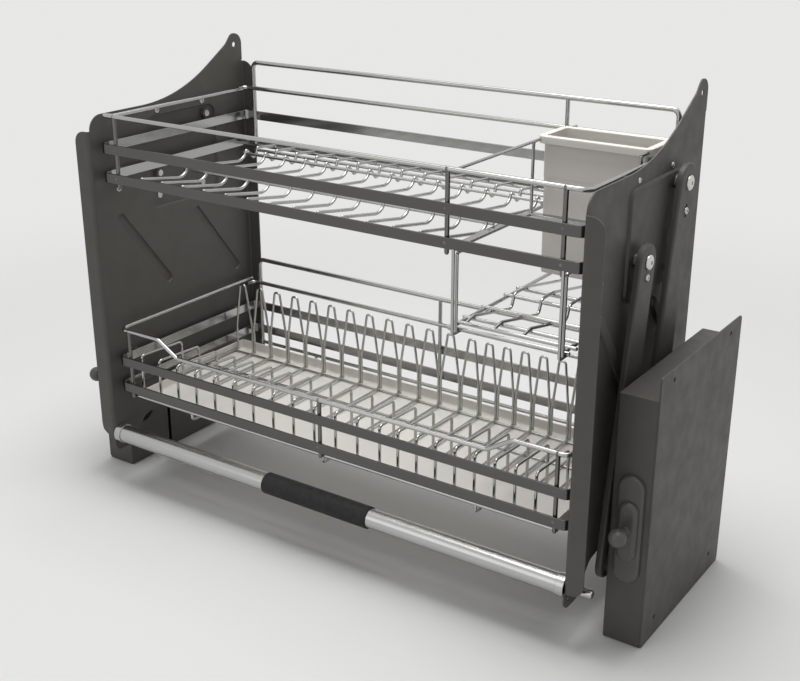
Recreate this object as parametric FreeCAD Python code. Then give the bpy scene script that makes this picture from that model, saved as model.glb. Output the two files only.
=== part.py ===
import FreeCAD, Part
import math
import os

V = FreeCAD.Vector

# A pull-down dish rack for a wall cabinet. A welded wire rack hangs between two pressed steel
# side panels. Two arms on each side swing it forwards and down, and it stays level, because the
# arms are equal and parallel. The arms turn in two flat boxes screwed to the cabinet's sides.
#
# Millimetres. X runs to the right across the cabinet, with 0 in the middle. Y runs backwards,
# with 0 on the line through the rear arms' upper pivots. Z runs up from the boxes' underside.
# The finished pieces move back a little at the end, so the origin is the middle of the footprint.

# Overall sizes
overall_width = 764.0          # over both mounting plates, for a cabinet 764 wide inside
rack_front_y = -197.0          # front face of the side panels' front flanges
rack_rear_y = 75.0             # rear face of the side panels

# Side boxes
box_depth = 42.5               # mounting plate's outer face to the cover's inner face
box_front_y = -150.0
box_rear_y = 59.0
box_height = 273.0
mount_plate_height = 296.5
mount_plate_thickness = 2.0
mount_plate_corner = 4.0
cover_wall = 1.5
cover_edge = 2.0               # rounding along the cover's front and rear edges
screw_hole_radius = 2.4        # for the four screws that hold each mounting plate
screw_hole_inset = 30.0        # from the plate's front and rear edges
screw_hole_low_z = 22.0
screw_hole_top_inset = 11.5    # from the plate's top edge
inner_slot = (-79.0, 8.0, 78.0)  # slot in the cover's wall towards the rack: y, lower z, upper z
inner_slot_width = 5.0
tab_width = 16.0               # bent tabs of the mounting plate that hold the cover
tab_length = 14.0
tab_thickness = 2.0
tab_heights = (40.0, 232.0)
cover_screw_radius = 2.0
cover_screw_head = 3.6
cover_screw_head_height = 1.6
cover_screw_length = 9.0

# Arms, which are shallow pressed channels with their open side towards the rack
arm_box_gap = 5.5              # arm's outer face to the box
arm_stand_off = 17.0           # side panel's outer face to the arm's outer face
arm_length = 309.43            # pivot to pivot
arm_lean = 8.55                # degrees back from upright, at rest
arm_sheet = 1.5
arm_depth = 6.5
front_arm_width = 36.0
rear_arm_width = 40.0
rear_upper_z = 444.0           # the rear arms' upper pivots are at Y = 0
front_upper_y = -88.0
front_upper_z = 384.0
arm_slot_drop = 28.0           # slot with a small screw, below the rear arm's upper pivot
arm_slot_length = 13.0
front_screw_drop = 15.0        # small screw below the front arm's upper pivot
arm_screw_radius = 2.2
arm_screw_head = 4.2

# Pivots
shaft_radius = 5.0             # lower pivot shafts, which turn with the arms
shaft_head_radius = 9.0
shaft_head_height = 3.0
bolt_radius = 4.0              # upper pivot bolts, which stay in the side panels
bolt_head_radius = 8.0
bolt_head_height = 3.0
spacer_radius = 7.5
nut_flats = 12.0
nut_height = 5.0
running_fit = 0.05             # radial, between a shaft and its bearing
press_gap = 0.02               # radial, between a shaft and what is fixed on it
open_pivot_gap = 0.35          # radial, at the rear arms' upper pivots
side_play = 0.3                # along X, between pieces that turn against each other
bush_radius = 7.0
bush_flange_radius = 11.0
bush_inside = 5.0
block_radius = 12.0
block_height = 12.0
damper_radius = 22.0
damper_depth = 10.5
damper_wall = 2.0
rotor_radius = 18.0
rotor_hub_radius = 8.0

# Lift spring and its adjuster, one in each box
crank_radius = 20.0
crank_thickness = 4.5
crank_angle = -55.0            # degrees from straight back, upwards positive, at rest
crank_pin_radius = 3.0
spring_wire = 2.2
spring_radius = 8.0            # outside
spring_coil_inset = 12.0       # pin to the end of the coil
spring_anchor_z = 45.0
adjuster_z = 131.5
adjuster_inset = 21.25         # mounting plate's outer face to the adjuster's middle
adjuster_travel = 20.0         # each way
bezel_width = 27.5
bezel_height = 118.0
bezel_depth = 5.0
bezel_edge = 2.8               # rounding of the bezel's rim
slot_width = 14.0
slider_width = 20.5            # the slider's face covers the slot at mid travel
slider_height = 65.0
slider_thickness = 5.0
slider_edge = 4.4
neck_width = 12.0              # joins the slider's face to the shutter, through the slot
neck_height = 21.0
shutter_margin = 3.0
shutter_thickness = 1.6
guide_play = 0.2
stem_radius = 3.5
knob_radius = 9.2
knob_reach = 28.0              # box front to the ball's middle
knob_lift = 3.0                # ball's middle above the slider's middle
link_thickness = 3.0
link_height = 10.0

# Side panels
panel_sheet = 1.5
flange_bend = 4.5              # outside radius of the front flange's bend
flange_reach = 20.0            # how far the front flange stands out of the panel's face
flange_corner = 14.0
flange_top_z = 452.0
flange_foot_z = 64.0
rear_flange_width = 19.0
nose_z = 46.0                  # lowest point, round the handle
shoulder_z = 470.0             # flat part of the top edge, which then sweeps up to the ear
shoulder_round = 17.9
sweep_y = -46.1
sweep_radius = 225.0
underside_front_z = 81.0
underside_rear_z = 88.0
ear_y = 59.6
ear_z = 523.0
ear_radius = 14.0
ear_hole_radius = 3.25
pad_height = 3.0               # pressed outwards round the upper pivots
pad_front_y = -104.0
pad_rear_y = 18.0
pad_low_z = 340.0
pad_top_z = 455.5
pad_corner = 14.0
rib_width = 13.0
rib_height = 2.5
panel_screw_radius = 2.0
panel_screw_head = 4.0
panel_screw_head_height = 2.0

# Handle
handle_y = -187.0
handle_z = 69.0
tube_radius = 11.0
tube_wall = 1.2
grip_radius = 12.6
grip_length = 148.0
ferrule_radius = 12.2
ferrule_length = 9.5
plug_length = 20.0
pin_radius = 4.6
pin_reach = 26.0               # how far the bright end pins stand out of the panels
pin_collar_radius = 5.4
pin_collar_height = 2.0
handle_hole_drop = 14.0
handle_hole_radius = 2.5

# Wire baskets
basket_gap = 4.5               # panel's inner face to the flat bands
band_front_y = -184.5          # front face of the flat bands
band_rear_y = 72.0
band_thickness = 2.5
band_height = 11.5
band_corner = 8.0
frame_wire = 2.5               # radius of the frames' wires
rail_wire = 3.0                # radius of the two rear rails
weld = 0.5                     # how deep welded wires sink into each other
touch = 0.05                   # gap where wires of two pieces only meet
loose_gap = 0.3                # between pieces that lift out and what holds them
standoff_radius = 6.0

# Upper basket
upper_band_tops = (438.3, 404.0)
upper_wire_z = 470.3
upper_side_wire_z = 467.0
upper_rail_z = 501.5
upper_second_rail_z = 468.5
upper_rail_half = 291.0
rail_bend = 8.0
upright_end = 5.0              # uprights stand out below the lower band
divider_x = 175.0
bowl_wire = 1.7
bowl_first_inset = 54.5        # side band to the first bowl wire
bowl_pitch = 32.0
bowl_ridges = (-102.0, 3.5, 26.0)
bowl_step = 6.0                # each dip lies this far in front of its ridge
bowl_dip_z = 392.0
bowl_ridge_z = 402.5
bowl_bend = 8.5
floor_bar_top_z = 397.0
floor_rod = 2.0

# Cutlery box
box_rim_left = 171.0
box_rim_right = 299.0
box_rim_front = -20.0
box_rim_rear = 42.0
box_rim_top = 476.0
box_rim_height = 8.0
box_rim_overhang = 6.0
box_base_z = 325.0
box_wall = 2.0
hanger_wire = 1.7
box_drain_radius = 3.0

# Small bowl rack hung under the upper basket, at the right
small_rack_z = 308.9             # middle of the cross rods
small_rack_left = 163.0
small_rack_right = 287.5
small_rod_ends = (2.0, 8.0)      # cross rods beyond the left and right side rods
small_rack_front = -172.3
small_wave_start = -157.0
small_wave_crest = -140.5
small_low_rod = -103.5
small_wave_ridge = -57.0
small_wave_end = -30.0
small_rack_rear = 61.0
small_rod = 2.2
small_sag = 12.0                 # the waved wires' dips below the cross rods
small_wave_pitch = 32.7
small_hanger_inset = 10.0        # left side rod to its hanger
small_hanger_top = 388.0

# Lower basket
lower_band_tops = (173.0, 139.0)
lower_wire_z = 207.5
lower_dip_z = 189.5
lower_dip_half = 214.0
lower_slope = 30.0
lower_rail_z = 236.0
lower_second_rail_z = 202.5
lower_rail_half = 294.0
lower_base_rod_z = 121.0
lower_rear_rod_z = 115.45

# Plate holders
plate_pitch = 30.0
plate_slots = 12
saucer_pitch = 24.0
holder_margin = 26.5           # side band to the first and, at most, the last hoop
hoop_wire = 1.6
hoop_front_y = -170.5
hoop_rear_y = -100.5
hoop_top_z = 174.5
hoop_rear_top_z = 171.0
hoop_bend = 5.0
peg_y = 20.0
peg_top_z = 215.0
peg_top_width = 8.0
peg_gather_z = 155.0           # below here the legs of two pegs run side by side
peg_wire = 1.5
run_z = 119.0
cross_wire = 1.2

# Drip tray
support_wire = 1.8
support_x = 200.0
tray_floor_z = 115.0
tray_wall = 1.8
tray_front_half = 290.0        # the tray is narrower in front, beside the hoops
tray_step_y = -108.0
tray_front_y = -165.0
tray_rear_y = 36.0
tray_height = 12.0
tray_corner = 4.0

# Places that follow from the sizes above
half_width = overall_width / 2
plate_inner_x = half_width - mount_plate_thickness
box_inner_x = half_width - box_depth
arm_outer_x = box_inner_x - arm_box_gap
web_inner_x = arm_outer_x - arm_sheet
panel_outer_x = arm_outer_x - arm_stand_off
panel_inner_x = panel_outer_x - panel_sheet
adjuster_x = half_width - adjuster_inset
lean = math.radians(arm_lean)
arm_offset_y = arm_length * math.sin(lean)
arm_offset_z = arm_length * math.cos(lean)
rear_upper = (0.0, rear_upper_z)
front_upper = (front_upper_y, front_upper_z)
rear_lower = (-arm_offset_y, rear_upper_z - arm_offset_z)
front_lower = (front_upper_y - arm_offset_y, front_upper_z - arm_offset_z)
band_outer_x = panel_inner_x - basket_gap
band_inner_x = band_outer_x - band_thickness
band_front_inner_y = band_front_y + band_thickness
band_rear_inner_y = band_rear_y - band_thickness
front_wire_y = band_front_inner_y + frame_wire - weld
rear_wire_y = band_rear_inner_y - rail_wire + weld
side_wire_x = band_inner_x - frame_wire + weld
footprint_front_y = handle_y - grip_radius
footprint_shift = -(footprint_front_y + rack_rear_y) / 2


def block(x0, x1, y0, y1, z0, z1):
    """A box between two corners."""
    return Part.makeBox(x1 - x0, y1 - y0, z1 - z0, V(x0, y0, z0))


def rod(start, end, radius):
    """A straight round bar between two points."""
    axis = V(*end) - V(*start)
    return Part.makeCylinder(radius, axis.Length, V(*start), axis)


def x_rod(x0, x1, place, radius):
    """A round bar along X, at a (y, z) place."""
    return rod((x0, place[0], place[1]), (x1, place[0], place[1]), radius)


def x_ring(x0, x1, place, outer, inner):
    """A bush along X, with a round hole right through."""
    reach = 1.0
    return x_rod(x0, x1, place, outer).cut(x_rod(x0 - reach, x1 + reach, place, inner))


def corner_points(before, corner, after, radius):
    """The start, middle and end of the arc that rounds a corner."""
    back = (before - corner).normalize()
    ahead = (after - corner).normalize()
    half_turn = back.getAngle(ahead) / 2
    reach = radius / math.tan(half_turn)
    to_centre = (back + ahead).normalize()
    centre = corner + to_centre * (radius / math.sin(half_turn))
    return corner + back * reach, centre - to_centre * radius, corner + ahead * reach


def bent_path(points, bend):
    """An open wire through the points, with each inner corner rounded."""
    points = [V(*p) for p in points]
    edges = []
    here = points[0]
    for before, corner, after in zip(points, points[1:], points[2:]):
        start, middle, end = corner_points(before, corner, after, bend)
        edges.append(Part.LineSegment(here, start).toShape())
        edges.append(Part.Arc(start, middle, end).toShape())
        here = end
    edges.append(Part.LineSegment(here, points[-1]).toShape())
    return Part.Wire(edges)


def bent_wire(points, bend, radius):
    """A round wire bent through the points."""
    path = bent_path(points, bend)
    direction = V(*points[1]) - V(*points[0])
    section = Part.Wire([Part.Circle(V(*points[0]), direction, radius).toShape()])
    return path.makePipeShell([section], True, False)


def outline(points, place):
    """A flat face inside rounded corners. Each point is (a, b, radius), and place maps a, b."""
    corners = [V(*place(a, b)) for a, b, _ in points]
    count = len(points)
    arcs = []
    for i, (_, _, radius) in enumerate(points):
        corner = corners[i]
        if radius:
            arcs.append(corner_points(corners[i - 1], corner, corners[(i + 1) % count], radius))
        else:
            arcs.append((corner, corner, corner))
    edges = []
    for i, (start, middle, end) in enumerate(arcs):
        if (end - start).Length > 1e-6:
            edges.append(Part.Arc(start, middle, end).toShape())
        ahead = arcs[(i + 1) % count][0]
        if (ahead - end).Length > 1e-6:
            edges.append(Part.LineSegment(end, ahead).toShape())
    return Part.Face(Part.Wire(edges))


def sheet_x(points, x0, x1):
    """A plate of the outline in Y and Z, from x0 to x1."""
    return outline(points, lambda a, b: (x0, a, b)).extrude(V(x1 - x0, 0, 0))


def sheet_y(points, y0, y1):
    """A plate of the outline in X and Z, from y0 to y1."""
    return outline(points, lambda a, b: (a, y0, b)).extrude(V(0, y1 - y0, 0))


def sheet_z(points, z0, z1):
    """A plate of the outline in X and Y, from z0 to z1."""
    return outline(points, lambda a, b: (a, b, z0)).extrude(V(0, 0, z1 - z0))


def rectangle(a0, a1, b0, b1, corner):
    """The outline points of a rectangle with rounded corners."""
    return [(a0, b0, corner), (a1, b0, corner), (a1, b1, corner), (a0, b1, corner)]


def capsule(start, end, width):
    """The outline points of a slot with round ends, along any line."""
    dy = end[0] - start[0]
    dz = end[1] - start[1]
    length = math.hypot(dy, dz)
    u = (dy / length, dz / length)
    r = width / 2
    first = (start[0] - u[0] * r, start[1] - u[1] * r)
    last = (end[0] + u[0] * r, end[1] + u[1] * r)
    side = (-u[1] * r, u[0] * r)
    corner = r * 0.999
    return [(first[0] + side[0], first[1] + side[1], corner),
            (first[0] - side[0], first[1] - side[1], corner),
            (last[0] - side[0], last[1] - side[1], corner),
            (last[0] + side[0], last[1] + side[1], corner)]


def fused(pieces):
    """Welded pieces as one solid."""
    return pieces[0].multiFuse(pieces[1:]).removeSplitter()


def mirrored(shape):
    """The left-hand twin of a right-hand piece."""
    return shape.mirror(V(0, 0, 0), V(1, 0, 0))


def both(*shapes):
    """Right-hand pieces with their left-hand twins, as separate solids."""
    return Part.Compound(list(shapes) + [mirrored(s) for s in shapes])


def write(name, shape):
    """Saves a piece with the origin at the middle of the footprint."""
    placed = shape.copy()
    placed.translate(V(0, footprint_shift, 0))
    placed.exportStep("parts/" + name + ".step")


def write_sides(name, shape):
    """Saves the right-hand piece and its left-hand twin as two nodes."""
    write(name + "_right", shape)
    write(name + "_left", mirrored(shape))


# Side boxes

def mount_holes():
    """The (y, z) places of the four fixing screws of a mounting plate."""
    ys = (box_front_y + screw_hole_inset, box_rear_y - screw_hole_inset)
    zs = (screw_hole_low_z, mount_plate_height - screw_hole_top_inset)
    return [(y, z) for y in ys for z in zs]


def tab_spans():
    """The (front y, rear y) of the cover tabs, inside the front and rear walls."""
    front = box_front_y + cover_wall
    rear = box_rear_y - cover_wall
    return ((front, front + tab_thickness), (rear - tab_thickness, rear))


def tab_screw_x():
    """Where the cover screws sit, in the middle of the tabs."""
    return plate_inner_x - tab_length / 2


def rear_tab_screws(radius, y0, y1):
    """Round bars along Y at the rear tabs' screws."""
    x = tab_screw_x()
    return [rod((x, y0, z), (x, y1, z), radius) for z in tab_heights]


def mounting_plate():
    """The outer plate, with its screw holes and the tabs that carry the cover."""
    points = rectangle(box_front_y, box_rear_y, 0, mount_plate_height, mount_plate_corner)
    body = sheet_x(points, plate_inner_x, half_width)
    tabs = []
    for z in tab_heights:
        y0, y1 = tab_spans()[1]
        tab = block(plate_inner_x - tab_length, plate_inner_x + arm_sheet, y0, y1,
                    z - tab_width / 2, z + tab_width / 2)
        tabs.append(tab)
    body = fused([body] + tabs)
    for place in mount_holes():
        body = body.cut(x_rod(plate_inner_x - 1, half_width + 1, place, screw_hole_radius))
    y0, y1 = tab_spans()[1]
    for hole in rear_tab_screws(cover_screw_radius + press_gap, y0 - 1, y1 + 1):
        body = body.cut(hole)
    return body


def adjuster_slot(width, height, y0, y1, middle_z=adjuster_z):
    """An upright slot with round ends on the box's front, centred on the adjuster."""
    reach = height / 2 - width / 2
    points = capsule((adjuster_x, middle_z - reach), (adjuster_x, middle_z + reach), width)
    return sheet_y(points, y0, y1)


def slot_height():
    """The slot is as long as the slider's neck and its travel."""
    return neck_height + 2 * adjuster_travel + 2 * guide_play


def box_cover():
    """The box's shell, open towards the mounting plate."""
    outer = sheet_z(rectangle(box_inner_x, plate_inner_x, box_front_y, box_rear_y, 0), 0, box_height)
    rounded = [e for e in outer.Edges if abs(e.BoundBox.ZLength - box_height) < 0.01
               and abs(e.CenterOfMass.x - box_inner_x) < 0.01]
    outer = outer.makeFillet(cover_edge, rounded)
    inner = block(box_inner_x + cover_wall, plate_inner_x + 1, box_front_y + cover_wall,
                  box_rear_y - cover_wall, cover_wall, box_height - cover_wall)
    shell = outer.cut(inner)
    for place in (front_lower, rear_lower):
        hole = x_rod(box_inner_x - 1, box_inner_x + cover_wall + 1, place, bush_radius + running_fit)
        shell = shell.cut(hole)
    y, low, high = inner_slot
    slot = capsule((y, low), (y, high), inner_slot_width)
    shell = shell.cut(sheet_x(slot, box_inner_x - 1, box_inner_x + cover_wall + 1))
    shell = shell.cut(adjuster_slot(slot_width, slot_height(), box_front_y - 1,
                                    box_front_y + cover_wall + 1))
    for hole in rear_tab_screws(cover_screw_radius + press_gap, box_rear_y - cover_wall - 1,
                                box_rear_y + 1):
        shell = shell.cut(hole)
    return shell


def cover_screws():
    """The screws that hold the cover to the rear tabs, from behind."""
    screws = []
    inner_end = box_rear_y - cover_screw_length
    heads = rear_tab_screws(cover_screw_head, box_rear_y, box_rear_y + cover_screw_head_height)
    for shank, head in zip(rear_tab_screws(cover_screw_radius, inner_end, box_rear_y), heads):
        screws.append(fused([shank, head]))
    return screws


def lower_bush(place):
    """A flanged plastic bush, which holds a shaft in the cover's wall."""
    flange_start = arm_outer_x + side_play
    inside_end = box_inner_x + cover_wall + bush_inside
    flange = x_rod(flange_start, box_inner_x, place, bush_flange_radius)
    barrel = x_rod(box_inner_x, inside_end, place, bush_radius)
    hole = x_rod(flange_start - 1, inside_end + 1, place, shaft_radius + running_fit)
    return fused([flange, barrel]).cut(hole)


def bearing_block():
    """The block on the mounting plate that holds the front shaft's outer end."""
    return x_ring(plate_inner_x - block_height, plate_inner_x, front_lower, block_radius,
                  shaft_radius + running_fit)


def damper_housing():
    """The drum of the rotary damper, on the mounting plate round the rear shaft."""
    start = plate_inner_x - damper_depth
    drum = x_rod(start, plate_inner_x, rear_lower, damper_radius)
    chamber = x_rod(start + damper_wall, plate_inner_x - damper_wall, rear_lower,
                    rotor_radius + side_play)
    mouth = x_rod(start - 1, start + damper_wall + 1, rear_lower, rotor_hub_radius + running_fit)
    seat = x_rod(plate_inner_x - damper_wall - 1, plate_inner_x + 1, rear_lower,
                 shaft_radius + running_fit)
    return drum.cut(chamber).cut(mouth).cut(seat)


# Lift spring, crank and adjuster

def crank_pin():
    """The (y, z) place of the crank pin at rest."""
    angle = math.radians(crank_angle)
    return (rear_lower[0] + crank_radius * math.cos(angle),
            rear_lower[1] + crank_radius * math.sin(angle))


def crank_start_x():
    return box_inner_x + cover_wall + bush_inside + side_play


def spring_x():
    """The spring's axis, clear of the crank's plate and of the damper."""
    return plate_inner_x - damper_depth - spring_radius - 2 * side_play - 1


def crank():
    """The lever on the rear shaft, with the pin that the spring pulls on."""
    x0 = crank_start_x()
    x1 = x0 + crank_thickness
    arm = sheet_x(capsule(rear_lower, crank_pin(), 2.6 * shaft_radius), x0, x1)
    pin = x_rod(x1, spring_x() + crank_pin_radius, crank_pin(), crank_pin_radius)
    hole = x_rod(x0 - 1, x1 + 1, rear_lower, shaft_radius + press_gap)
    return fused([arm, pin]).cut(hole)


def spring():
    """The tension spring, sealed in the box: a plain sleeve with a hook eye at each end."""
    y, top = crank_pin()
    x = spring_x()
    low = spring_anchor_z
    coil_low = low + spring_coil_inset
    coil_top = top - spring_coil_inset
    coil = rod((x, y, coil_low), (x, y, coil_top), spring_radius)
    bore = rod((x, y, coil_low + spring_wire), (x, y, coil_top - spring_wire),
               spring_radius - spring_wire)
    eye_radius = crank_pin_radius + spring_wire / 2 + side_play
    wires = []
    for pin_z, coil_z, way in ((low, coil_low, 1), (top, coil_top, -1)):
        ring = Part.makeTorus(eye_radius, spring_wire / 2, V(x, y, pin_z), V(1, 0, 0))
        start = (x, y, pin_z + way * eye_radius)
        wires += [ring, rod(start, (x, y, coil_z + way * weld), spring_wire / 2)]
    return fused([coil.cut(bore)] + wires)


def adjuster_bezel():
    """The raised oblong plate round the adjuster's slot."""
    ring = adjuster_slot(bezel_width, bezel_height, box_front_y - bezel_depth, box_front_y)
    rim = [e for e in ring.Edges if abs(e.CenterOfMass.y - (box_front_y - bezel_depth)) < 0.01]
    ring = ring.makeFillet(bezel_edge, rim)
    return ring.cut(adjuster_slot(slot_width, slot_height(), box_front_y - bezel_depth - 1,
                                  box_front_y + 1))


def adjuster_slider():
    """The slider over the slot, its neck and stem, the shutter behind and the link to the spring."""
    shutter_front = box_front_y + cover_wall + guide_play
    shutter_rear = shutter_front + shutter_thickness
    back_y = box_front_y - bezel_depth - guide_play
    rim_y = back_y - slider_thickness
    face = adjuster_slot(slider_width, slider_height, rim_y, back_y)
    rim = [e for e in face.Edges if abs(e.CenterOfMass.y - rim_y) < 0.01]
    face = face.makeFillet(slider_edge, rim)
    neck = adjuster_slot(neck_width, neck_height, back_y, shutter_front)
    half_width_z = slot_width / 2 + shutter_margin
    half_height = slot_height() / 2 + adjuster_travel + shutter_margin
    shutter = block(adjuster_x - half_width_z, adjuster_x + half_width_z, shutter_front,
                    shutter_rear, adjuster_z - half_height, adjuster_z + half_height)
    stem_end = box_front_y - knob_reach + knob_radius / 2
    stem_z = adjuster_z + knob_lift
    stem = rod((adjuster_x, rim_y + 1, stem_z), (adjuster_x, stem_end, stem_z), stem_radius)
    pin_y = crank_pin()[0]
    link_x0 = spring_x() - spring_radius - link_thickness - side_play
    link_x1 = link_x0 + link_thickness
    z0 = spring_anchor_z - link_height / 2
    z1 = spring_anchor_z + link_height / 2
    shutter_edge = adjuster_x - half_width_z
    foot = block(min(link_x0, shutter_edge), adjuster_x, shutter_front, shutter_rear, z0,
                 adjuster_z - half_height + link_height)
    link = block(link_x0, link_x1, shutter_front, pin_y + link_height / 2, z0, z1)
    anchor = x_rod(link_x0 + 1, spring_x() + crank_pin_radius, (pin_y, spring_anchor_z),
                   crank_pin_radius)
    return fused([face, neck, shutter, stem, foot, link, anchor])


def adjuster_knob():
    """The ball knob on the slider's stem."""
    middle = box_front_y - knob_reach
    z = adjuster_z + knob_lift
    ball = Part.makeSphere(knob_radius, V(adjuster_x, middle, z))
    socket_end = box_front_y - knob_reach + knob_radius / 2
    socket = rod((adjuster_x, middle + knob_radius + 1, z), (adjuster_x, socket_end, z),
                 stem_radius + press_gap)
    return ball.cut(socket)


# Arms and pivots

def on_arm(lower, distance):
    """The (y, z) place on an arm's middle line, at a distance above its lower pivot."""
    return (lower[0] + distance * math.sin(lean), lower[1] + distance * math.cos(lean))


def arm(lower, width, upper_hole):
    """A pressed channel with round ends, its web outwards."""
    upper = on_arm(lower, arm_length)
    body = sheet_x(capsule(lower, upper, width), arm_outer_x - arm_depth, arm_outer_x)
    hollow = sheet_x(capsule(lower, upper, width - 2 * arm_sheet), arm_outer_x - arm_depth - 1,
                     web_inner_x)
    body = body.cut(hollow)
    body = body.cut(x_rod(web_inner_x - 1, arm_outer_x + 1, lower, shaft_radius + press_gap))
    return body.cut(x_rod(web_inner_x - 1, arm_outer_x + 1, upper, upper_hole))


def front_arm():
    body = arm(front_lower, front_arm_width, bolt_radius + running_fit)
    place = on_arm(front_lower, arm_length - front_screw_drop)
    hole = x_rod(web_inner_x - 1, arm_outer_x + 1, place, arm_screw_radius + press_gap)
    return body.cut(hole)


def rear_slot_ends():
    """The (y, z) ends of the rear arm's slot, between its round ends' middles."""
    middle = arm_length - arm_slot_drop
    reach = arm_slot_length / 2 - arm_screw_radius
    return on_arm(rear_lower, middle - reach), on_arm(rear_lower, middle + reach)


def rear_arm():
    body = arm(rear_lower, rear_arm_width, bolt_radius + open_pivot_gap)
    low, high = rear_slot_ends()
    width = 2 * (arm_screw_radius + press_gap)
    return body.cut(sheet_x(capsule(low, high, width), web_inner_x - 1, arm_outer_x + 1))


def arm_screw(place):
    """A small screw and nut on an arm's web."""
    head = x_rod(arm_outer_x, arm_outer_x + 2, place, arm_screw_head)
    nut = x_rod(web_inner_x - 2.5, web_inner_x, place, arm_screw_head)
    shank = x_rod(web_inner_x, arm_outer_x, place, arm_screw_radius)
    return fused([head, shank, nut])


def lower_shaft(place, end_x):
    """A pivot shaft with a flat head inside the arm, reaching into the box."""
    head = x_rod(web_inner_x - shaft_head_height, web_inner_x, place, shaft_head_radius)
    return fused([head, x_rod(web_inner_x, end_x, place, shaft_radius)])


def damper_rotor():
    """The damper's vane drum and hub, fixed on the rear shaft."""
    start = plate_inner_x - damper_depth
    x0 = start + damper_wall + side_play
    x1 = plate_inner_x - damper_wall - side_play
    drum = x_rod(x0, x1, rear_lower, rotor_radius)
    hub = x_rod(start - side_play, x0, rear_lower, rotor_hub_radius)
    hole = x_rod(start - 1, x1 + 1, rear_lower, shaft_radius + press_gap)
    return fused([drum, hub]).cut(hole)


def pad_outer_x():
    return panel_outer_x + pad_height


def pad_inner_x():
    return panel_inner_x + pad_height


def upper_bolt(place):
    """A pivot bolt, with its bright head outside the arm."""
    shank_start = pad_inner_x() - nut_height - 1
    head_start = arm_outer_x + side_play
    shank = x_rod(shank_start, head_start, place, bolt_radius)
    head = x_rod(head_start, head_start + bolt_head_height - side_play, place, bolt_head_radius)
    rim = [e for e in head.Edges if abs(e.CenterOfMass.x - head.BoundBox.XMax) < 0.01]
    return fused([shank, head.makeFillet(bolt_head_height / 3, rim)])


def upper_spacer(place):
    """The tube that keeps the arm away from the panel."""
    return x_ring(pad_outer_x(), web_inner_x - side_play, place, spacer_radius,
                  bolt_radius + running_fit)


def upper_nut(place):
    """A hexagon nut inside the panel's pressed pad."""
    radius = nut_flats / 2 / math.cos(math.pi / 6)
    corners = []
    for i in range(6):
        angle = i * math.pi / 3
        corners.append((place[0] + radius * math.cos(angle), place[1] + radius * math.sin(angle), 0))
    body = sheet_x(corners, pad_inner_x() - nut_height, pad_inner_x())
    return body.cut(x_rod(pad_inner_x() - nut_height - 1, pad_inner_x() + 1, place,
                          bolt_radius + press_gap))


# Side panels

def panel_outline():
    """The flat sheet's outline in Y and Z, from the front flange's bend round to the nose."""
    bend_y = rack_front_y + flange_bend
    ear_front_y = ear_y - 0.9 * ear_radius
    ear_top = ear_z + ear_radius
    nose_rear_y = handle_y + 19
    return [(bend_y, shoulder_z, shoulder_round),
            (sweep_y, shoulder_z, sweep_radius),
            (ear_front_y - 3, ear_z + 2, 25),
            (ear_front_y + 7.5, ear_top, 9),
            (ear_y + ear_radius, ear_top, 0.98 * ear_radius),
            (rack_rear_y, ear_z - 22, 10),
            (rack_rear_y, underside_rear_z, 20),
            (-120, underside_front_z, 40),
            (-143, underside_front_z - 4, 12),
            (nose_rear_y, nose_z, 12),
            (rack_front_y, nose_z, 10),
            (rack_front_y, flange_foot_z + 2, 1.5),
            (bend_y, flange_foot_z + 2, 0)]


def front_flange():
    """The flange turned outwards along the panel's front edge, with rounded corners."""
    r = flange_bend
    x0 = panel_inner_x
    y0 = rack_front_y
    root2 = math.sqrt(0.5)
    inner_r = r - panel_sheet
    edge_x = panel_outer_x + flange_reach
    centre = V(x0 + r, y0 + r, 0)
    outer_arc = Part.Arc(V(x0, y0 + r, 0), centre + V(-r * root2, -r * root2, 0), V(x0 + r, y0, 0))
    inner_arc = Part.Arc(V(x0 + r, y0 + panel_sheet, 0), centre + V(-inner_r * root2, -inner_r * root2, 0),
                         V(x0 + panel_sheet, y0 + r, 0))
    edges = [outer_arc.toShape(),
             Part.LineSegment(V(x0 + r, y0, 0), V(edge_x, y0, 0)).toShape(),
             Part.LineSegment(V(edge_x, y0, 0), V(edge_x, y0 + panel_sheet, 0)).toShape(),
             Part.LineSegment(V(edge_x, y0 + panel_sheet, 0), V(x0 + r, y0 + panel_sheet, 0)).toShape(),
             inner_arc.toShape(),
             Part.LineSegment(V(x0 + panel_sheet, y0 + r, 0), V(x0, y0 + r, 0)).toShape()]
    section = Part.Face(Part.Wire(edges))
    section.translate(V(0, 0, flange_foot_z))
    bar = section.extrude(V(0, 0, flange_top_z - flange_foot_z))
    front_view = [(x0 - 1, flange_foot_z, 0),
                  (edge_x, flange_foot_z, flange_corner),
                  (edge_x, flange_top_z, flange_corner),
                  (x0 - 1, flange_top_z, 0)]
    return bar.common(sheet_y(front_view, y0 - 1, y0 + r + 1))


def rear_flange():
    """The flange turned inwards along the panel's rear edge."""
    y1 = rack_rear_y
    edge_x = panel_outer_x - rear_flange_width
    front_view = [(edge_x, underside_rear_z + 4, 8),
                  (panel_outer_x, underside_rear_z + 4, 0),
                  (panel_outer_x, ear_z - 22, 0),
                  (edge_x, ear_z - 22, 0.9 * rear_flange_width)]
    return sheet_y(front_view, y1 - panel_sheet, y1)


def pressing(points, inset_points, height):
    """A pressed relief: what is added outside the sheet, and what is cut away behind it."""
    edge = panel_sheet
    outer = sheet_x(points, panel_inner_x, panel_outer_x + height)
    rim = [e for e in outer.Edges if abs(e.CenterOfMass.x - (panel_outer_x + height)) < 0.01]
    outer = outer.makeChamfer(height * 0.95, rim)
    inner = sheet_x(inset_points, panel_inner_x - edge, panel_inner_x + height)
    rim = [e for e in inner.Edges if abs(e.CenterOfMass.x - (panel_inner_x + height)) < 0.01]
    inner = inner.makeChamfer(height * 0.95, rim)
    return outer, inner


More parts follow.
